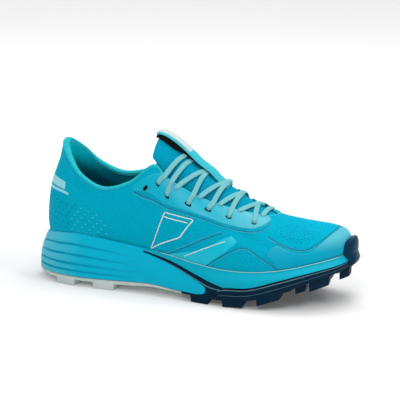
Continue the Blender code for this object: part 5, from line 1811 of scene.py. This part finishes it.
def make_strap():
    """The strap, painted black on the faces that look down, as the shade under it."""
    points, normal = strap_path()
    section = band_section(STRAP_WIDTH, STRAP_THICKNESS, 5.0, 28)
    # dark marks the faces that look down, painted black as the shade under the strap
    dark = [1 if y < 0 else 0 for y in (section[:, 1] + np.roll(section[:, 1], -1)) / 2]
    middle = points + normal * STRAP_THICKNESS / 2
    looks = [WEBBING, WEBBING_SHADE]
    return sweep("pull_strap", middle, normal, arched(section), looks, look_of_side=dark)


def make_patch():
    """A plain pale patch, sewn on the strap's upper half."""
    points, normal = strap_path()
    middle = (points + normal * (STRAP_THICKNESS + 0.00012))[PATCH_PART]
    section = arched(band_section(0.0118, 0.0004, 5.0, 20))
    return sweep("strap_patch", middle, normal[PATCH_PART], section, PATCH)


def make_strap_shade():
    """A black block that fills the gap between the strap and the tongue: painted shade."""
    points, _ = strap_path()
    across = np.linspace(-1.0, 1.0, 9)
    y = across * 0.46 * STRAP_WIDTH
    top, under = [], []
    for x, _, z in points[SHADE_PART]:
        floor = tongue_z(x, y) + 0.00025
        roof = z - 0.00005 - STRAP_ARCH * (0.92 * across)**2
        raised = floor + 0.0032 * smooth(x / LENGTH, 0.43, 0.455)
        floor = np.maximum(floor, np.minimum(raised, roof - 0.0004))
        top.append(np.stack([np.full(9, x), y, roof], axis=1))
        under.append(np.stack([np.full(9, x), y, floor], axis=1))
    return slab("strap_shade", np.array(top), np.array(under), WEBBING_SHADE, 60)


worn(make_strap(), "webbing", "tongue_strap")
worn(make_patch(), "webbing")
worn(make_strap_shade(), "webbing")

# %% [markdown]
# ## Laces
# The flat lace is a braid. Each crossing is two bars: one leaves an eyelet of the outer side, the
# other one of the inner side, and both climb over the crest of the tongue and dive under the other
# facing. A curve with a bevelled profile would twist where it leaves an eyelet. So a bar is one
# smooth line of points, each with its own upward direction, and the flat section lies on the shoe.

# %% The braid
LACE_WIDTH, LACE_THICKNESS, LACE_CLEARANCE = 0.0042, 0.0013, 0.0004


def braid(name, tone, dark):
    """Two families of strands that cross on the slant."""
    stuff = Stuff(name, 0.75, specular_ior_level=0.15)
    cloth = stuff.place(True)
    one = stuff.waves(stuff.place(True, turn=0.7), 1 / 1.1)
    two = stuff.waves(stuff.place(True, turn=-0.7), 1 / 1.1)
    weave = stuff.math("MAXIMUM", one, two)
    yarn = stuff.noise(cloth, 2.0, 2.0)
    share = stuff.math("SUBTRACT", stuff.math("MULTIPLY", yarn, 1.1), stuff.math("MULTIPLY", weave, 0.35))
    stuff.tones(linear(*tone), linear(*dark), share)
    stuff.bump(weave, 0.2, 0.7)
    return stuff.material


LACE = braid("lace_aqua", (126, 196, 200), (68, 156, 168))
print("lace in mm", LACE_WIDTH / MM, "by", LACE_THICKNESS / MM)

# %% Ways out of an eyelet and into the facing
# row and share up the side, where a lace goes under the facing
DIVES = ((10.62, 0.925), (9.49, 0.931), (8.77, 0.964), (8.09, 0.977), (7.35, 0.921))
OVER_FACING = 0.00055 + LACE_THICKNESS / 2
THROAT_ROWS = np.linspace(6.2, 13.5, 200)


def row_side(row, side):
    """A row of the outer side, or its mirror image on the inner side."""
    return row if side < 0 else ROUND - row


def from_eyelet(place, side, toward):
    """Out of the hole, over the facing and to the throat's edge. toward is the crest's x."""
    row, v = row_side(place[0], side), place[1]
    edge, hole = last.bare(row_side(THROAT_ROWS, side), 1.0), last.bare(row, v)
    nearest = np.argmin(np.abs(edge[:, 0] - (hole[0] + (toward - hole[0]) * 0.33)))
    goal = row_side(THROAT_ROWS[nearest], side)
    over, way = OVER_FACING, []
    for t, lift in ((-0.02, -0.0022), (0.03, -0.0004), (0.16, over), (0.5, over), (1.0, over)):
        r, s = row + (goal - row) * t, v + (0.995 - v) * t
        way.append((last.skin(r, s, lift), last.normal(r, s)))
    return way


def to_dive(place, side):
    """Over the throat's edge and down into its slit in the facing."""
    row, v = row_side(place[0], side), place[1]
    way = []
    for s, lift in ((v, -0.0020), (v + 0.012, -0.0002), (min(v + 0.04, 0.99), OVER_FACING)):
        way.append((last.skin(row, s, lift), last.normal(row, s)))
    return way


print("a lace's middle lies", round(OVER_FACING / MM, 2), "mm over the skin")


# %% Bars over the tongue
# share of its width that a bar keeps at the holes
PINCH = 0.72


def bar_points(start, crest_x, crest_lift, end):
    """A bar over the tongue's crest between two ways."""
    lift = LACE_THICKNESS / 2 + LACE_CLEARANCE
    top_normal = tongue_normal(crest_x, 0.0)
    crest = np.array([crest_x, 0.0, tongue_z(crest_x, 0.0)]) + top_normal * (lift + crest_lift)
    halves = []
    for way in (start, end):
        near, lean = way[-1]
        bridge = []
        for t in (0.72, 0.4):
            x, y = crest[0] + (near[0] - crest[0]) * t**1.1, near[1] * t
            normal = tongue_normal(x, y)
            over = tongue_z(x, y) + lift / normal[2]
            span = crest[2] + (near[2] - crest[2]) * t**1.9
            bridge.append((np.array([x, y, max(span, over)]), normal * (1.0 - t * t) + lean * t * t))
        halves.append(way + bridge)
    line = halves[0] + [(crest, top_normal)] + halves[1][::-1]
    points = curve([p for p, _ in line], 7)
    normals = curve([n for _, n in line], 7)
    return points, normals


def lace_bar(name, start, crest_x, crest_lift, end):
    """A bar with its flat section, pulled together and thicker at the holes."""
    points, normals = bar_points(start, crest_x, crest_lift, end)
    run = np.concatenate([[0.0], np.cumsum(np.linalg.norm(np.diff(points, axis=0), axis=1))]) / MM
    pinch = PINCH + (1.0 - PINCH) * smooth(np.minimum(run, run[-1] - run), 1.0, 7.0)
    section = band_section(LACE_WIDTH, LACE_THICKNESS, 2.6, 18)
    return sweep(name, points, normals, section, LACE, np.stack([pinch, 2.0 - pinch], axis=1))


print("a bar is", round(PINCH * LACE_WIDTH / MM, 2), "mm wide at the holes")

# %% The straight bar and the crossings
STRAIGHT_X = 0.722
CREST_X = (0.692, 0.642, 0.596, 0.536, 0.466)
TOP_CRESTS = (0.486, 0.468)
# the crossing that passes over the strap, and how much higher it runs
OVER_STRAP, STRAP_LIFT = 2, 0.0015


def make_laces():
    """The straight bar at the bottom and five crossings, each of two joined bars."""
    ends = [to_dive(DIVES[0], side) for side in (-1, 1)]
    bar = lace_bar("lace_straight_bar", ends[0], STRAIGHT_X * LENGTH, 0.0, ends[1])
    worn(bar, "lace", "lace_straight")
    for i, share in enumerate(CREST_X):
        crest = share * LENGTH
        over = STRAP_LIFT if i == OVER_STRAP else 0.0
        if i + 1 < len(DIVES):
            far = [to_dive(DIVES[i + 1], 1), to_dive(DIVES[i + 1], -1)]
            crests = (crest, crest)
        else:
            far = [from_eyelet(EYELETS[i + 1], side, crest) for side in (1, -1)]
            crests = [top * LENGTH for top in TOP_CRESTS]
        near = [from_eyelet(EYELETS[i], side, crest) for side in (-1, 1)]
        one = lace_bar("bar_one", near[0], crests[0], over, far[0])
        two = lace_bar("bar_two", near[1], crests[1], over + LACE_THICKNESS * 0.9, far[1])
        worn(join([one, two], f"lace_crossing_{i + 1}"), "lace", f"lace_cross_{i + 1}")


make_laces()
print("lace pieces", 1 + len(CREST_X))
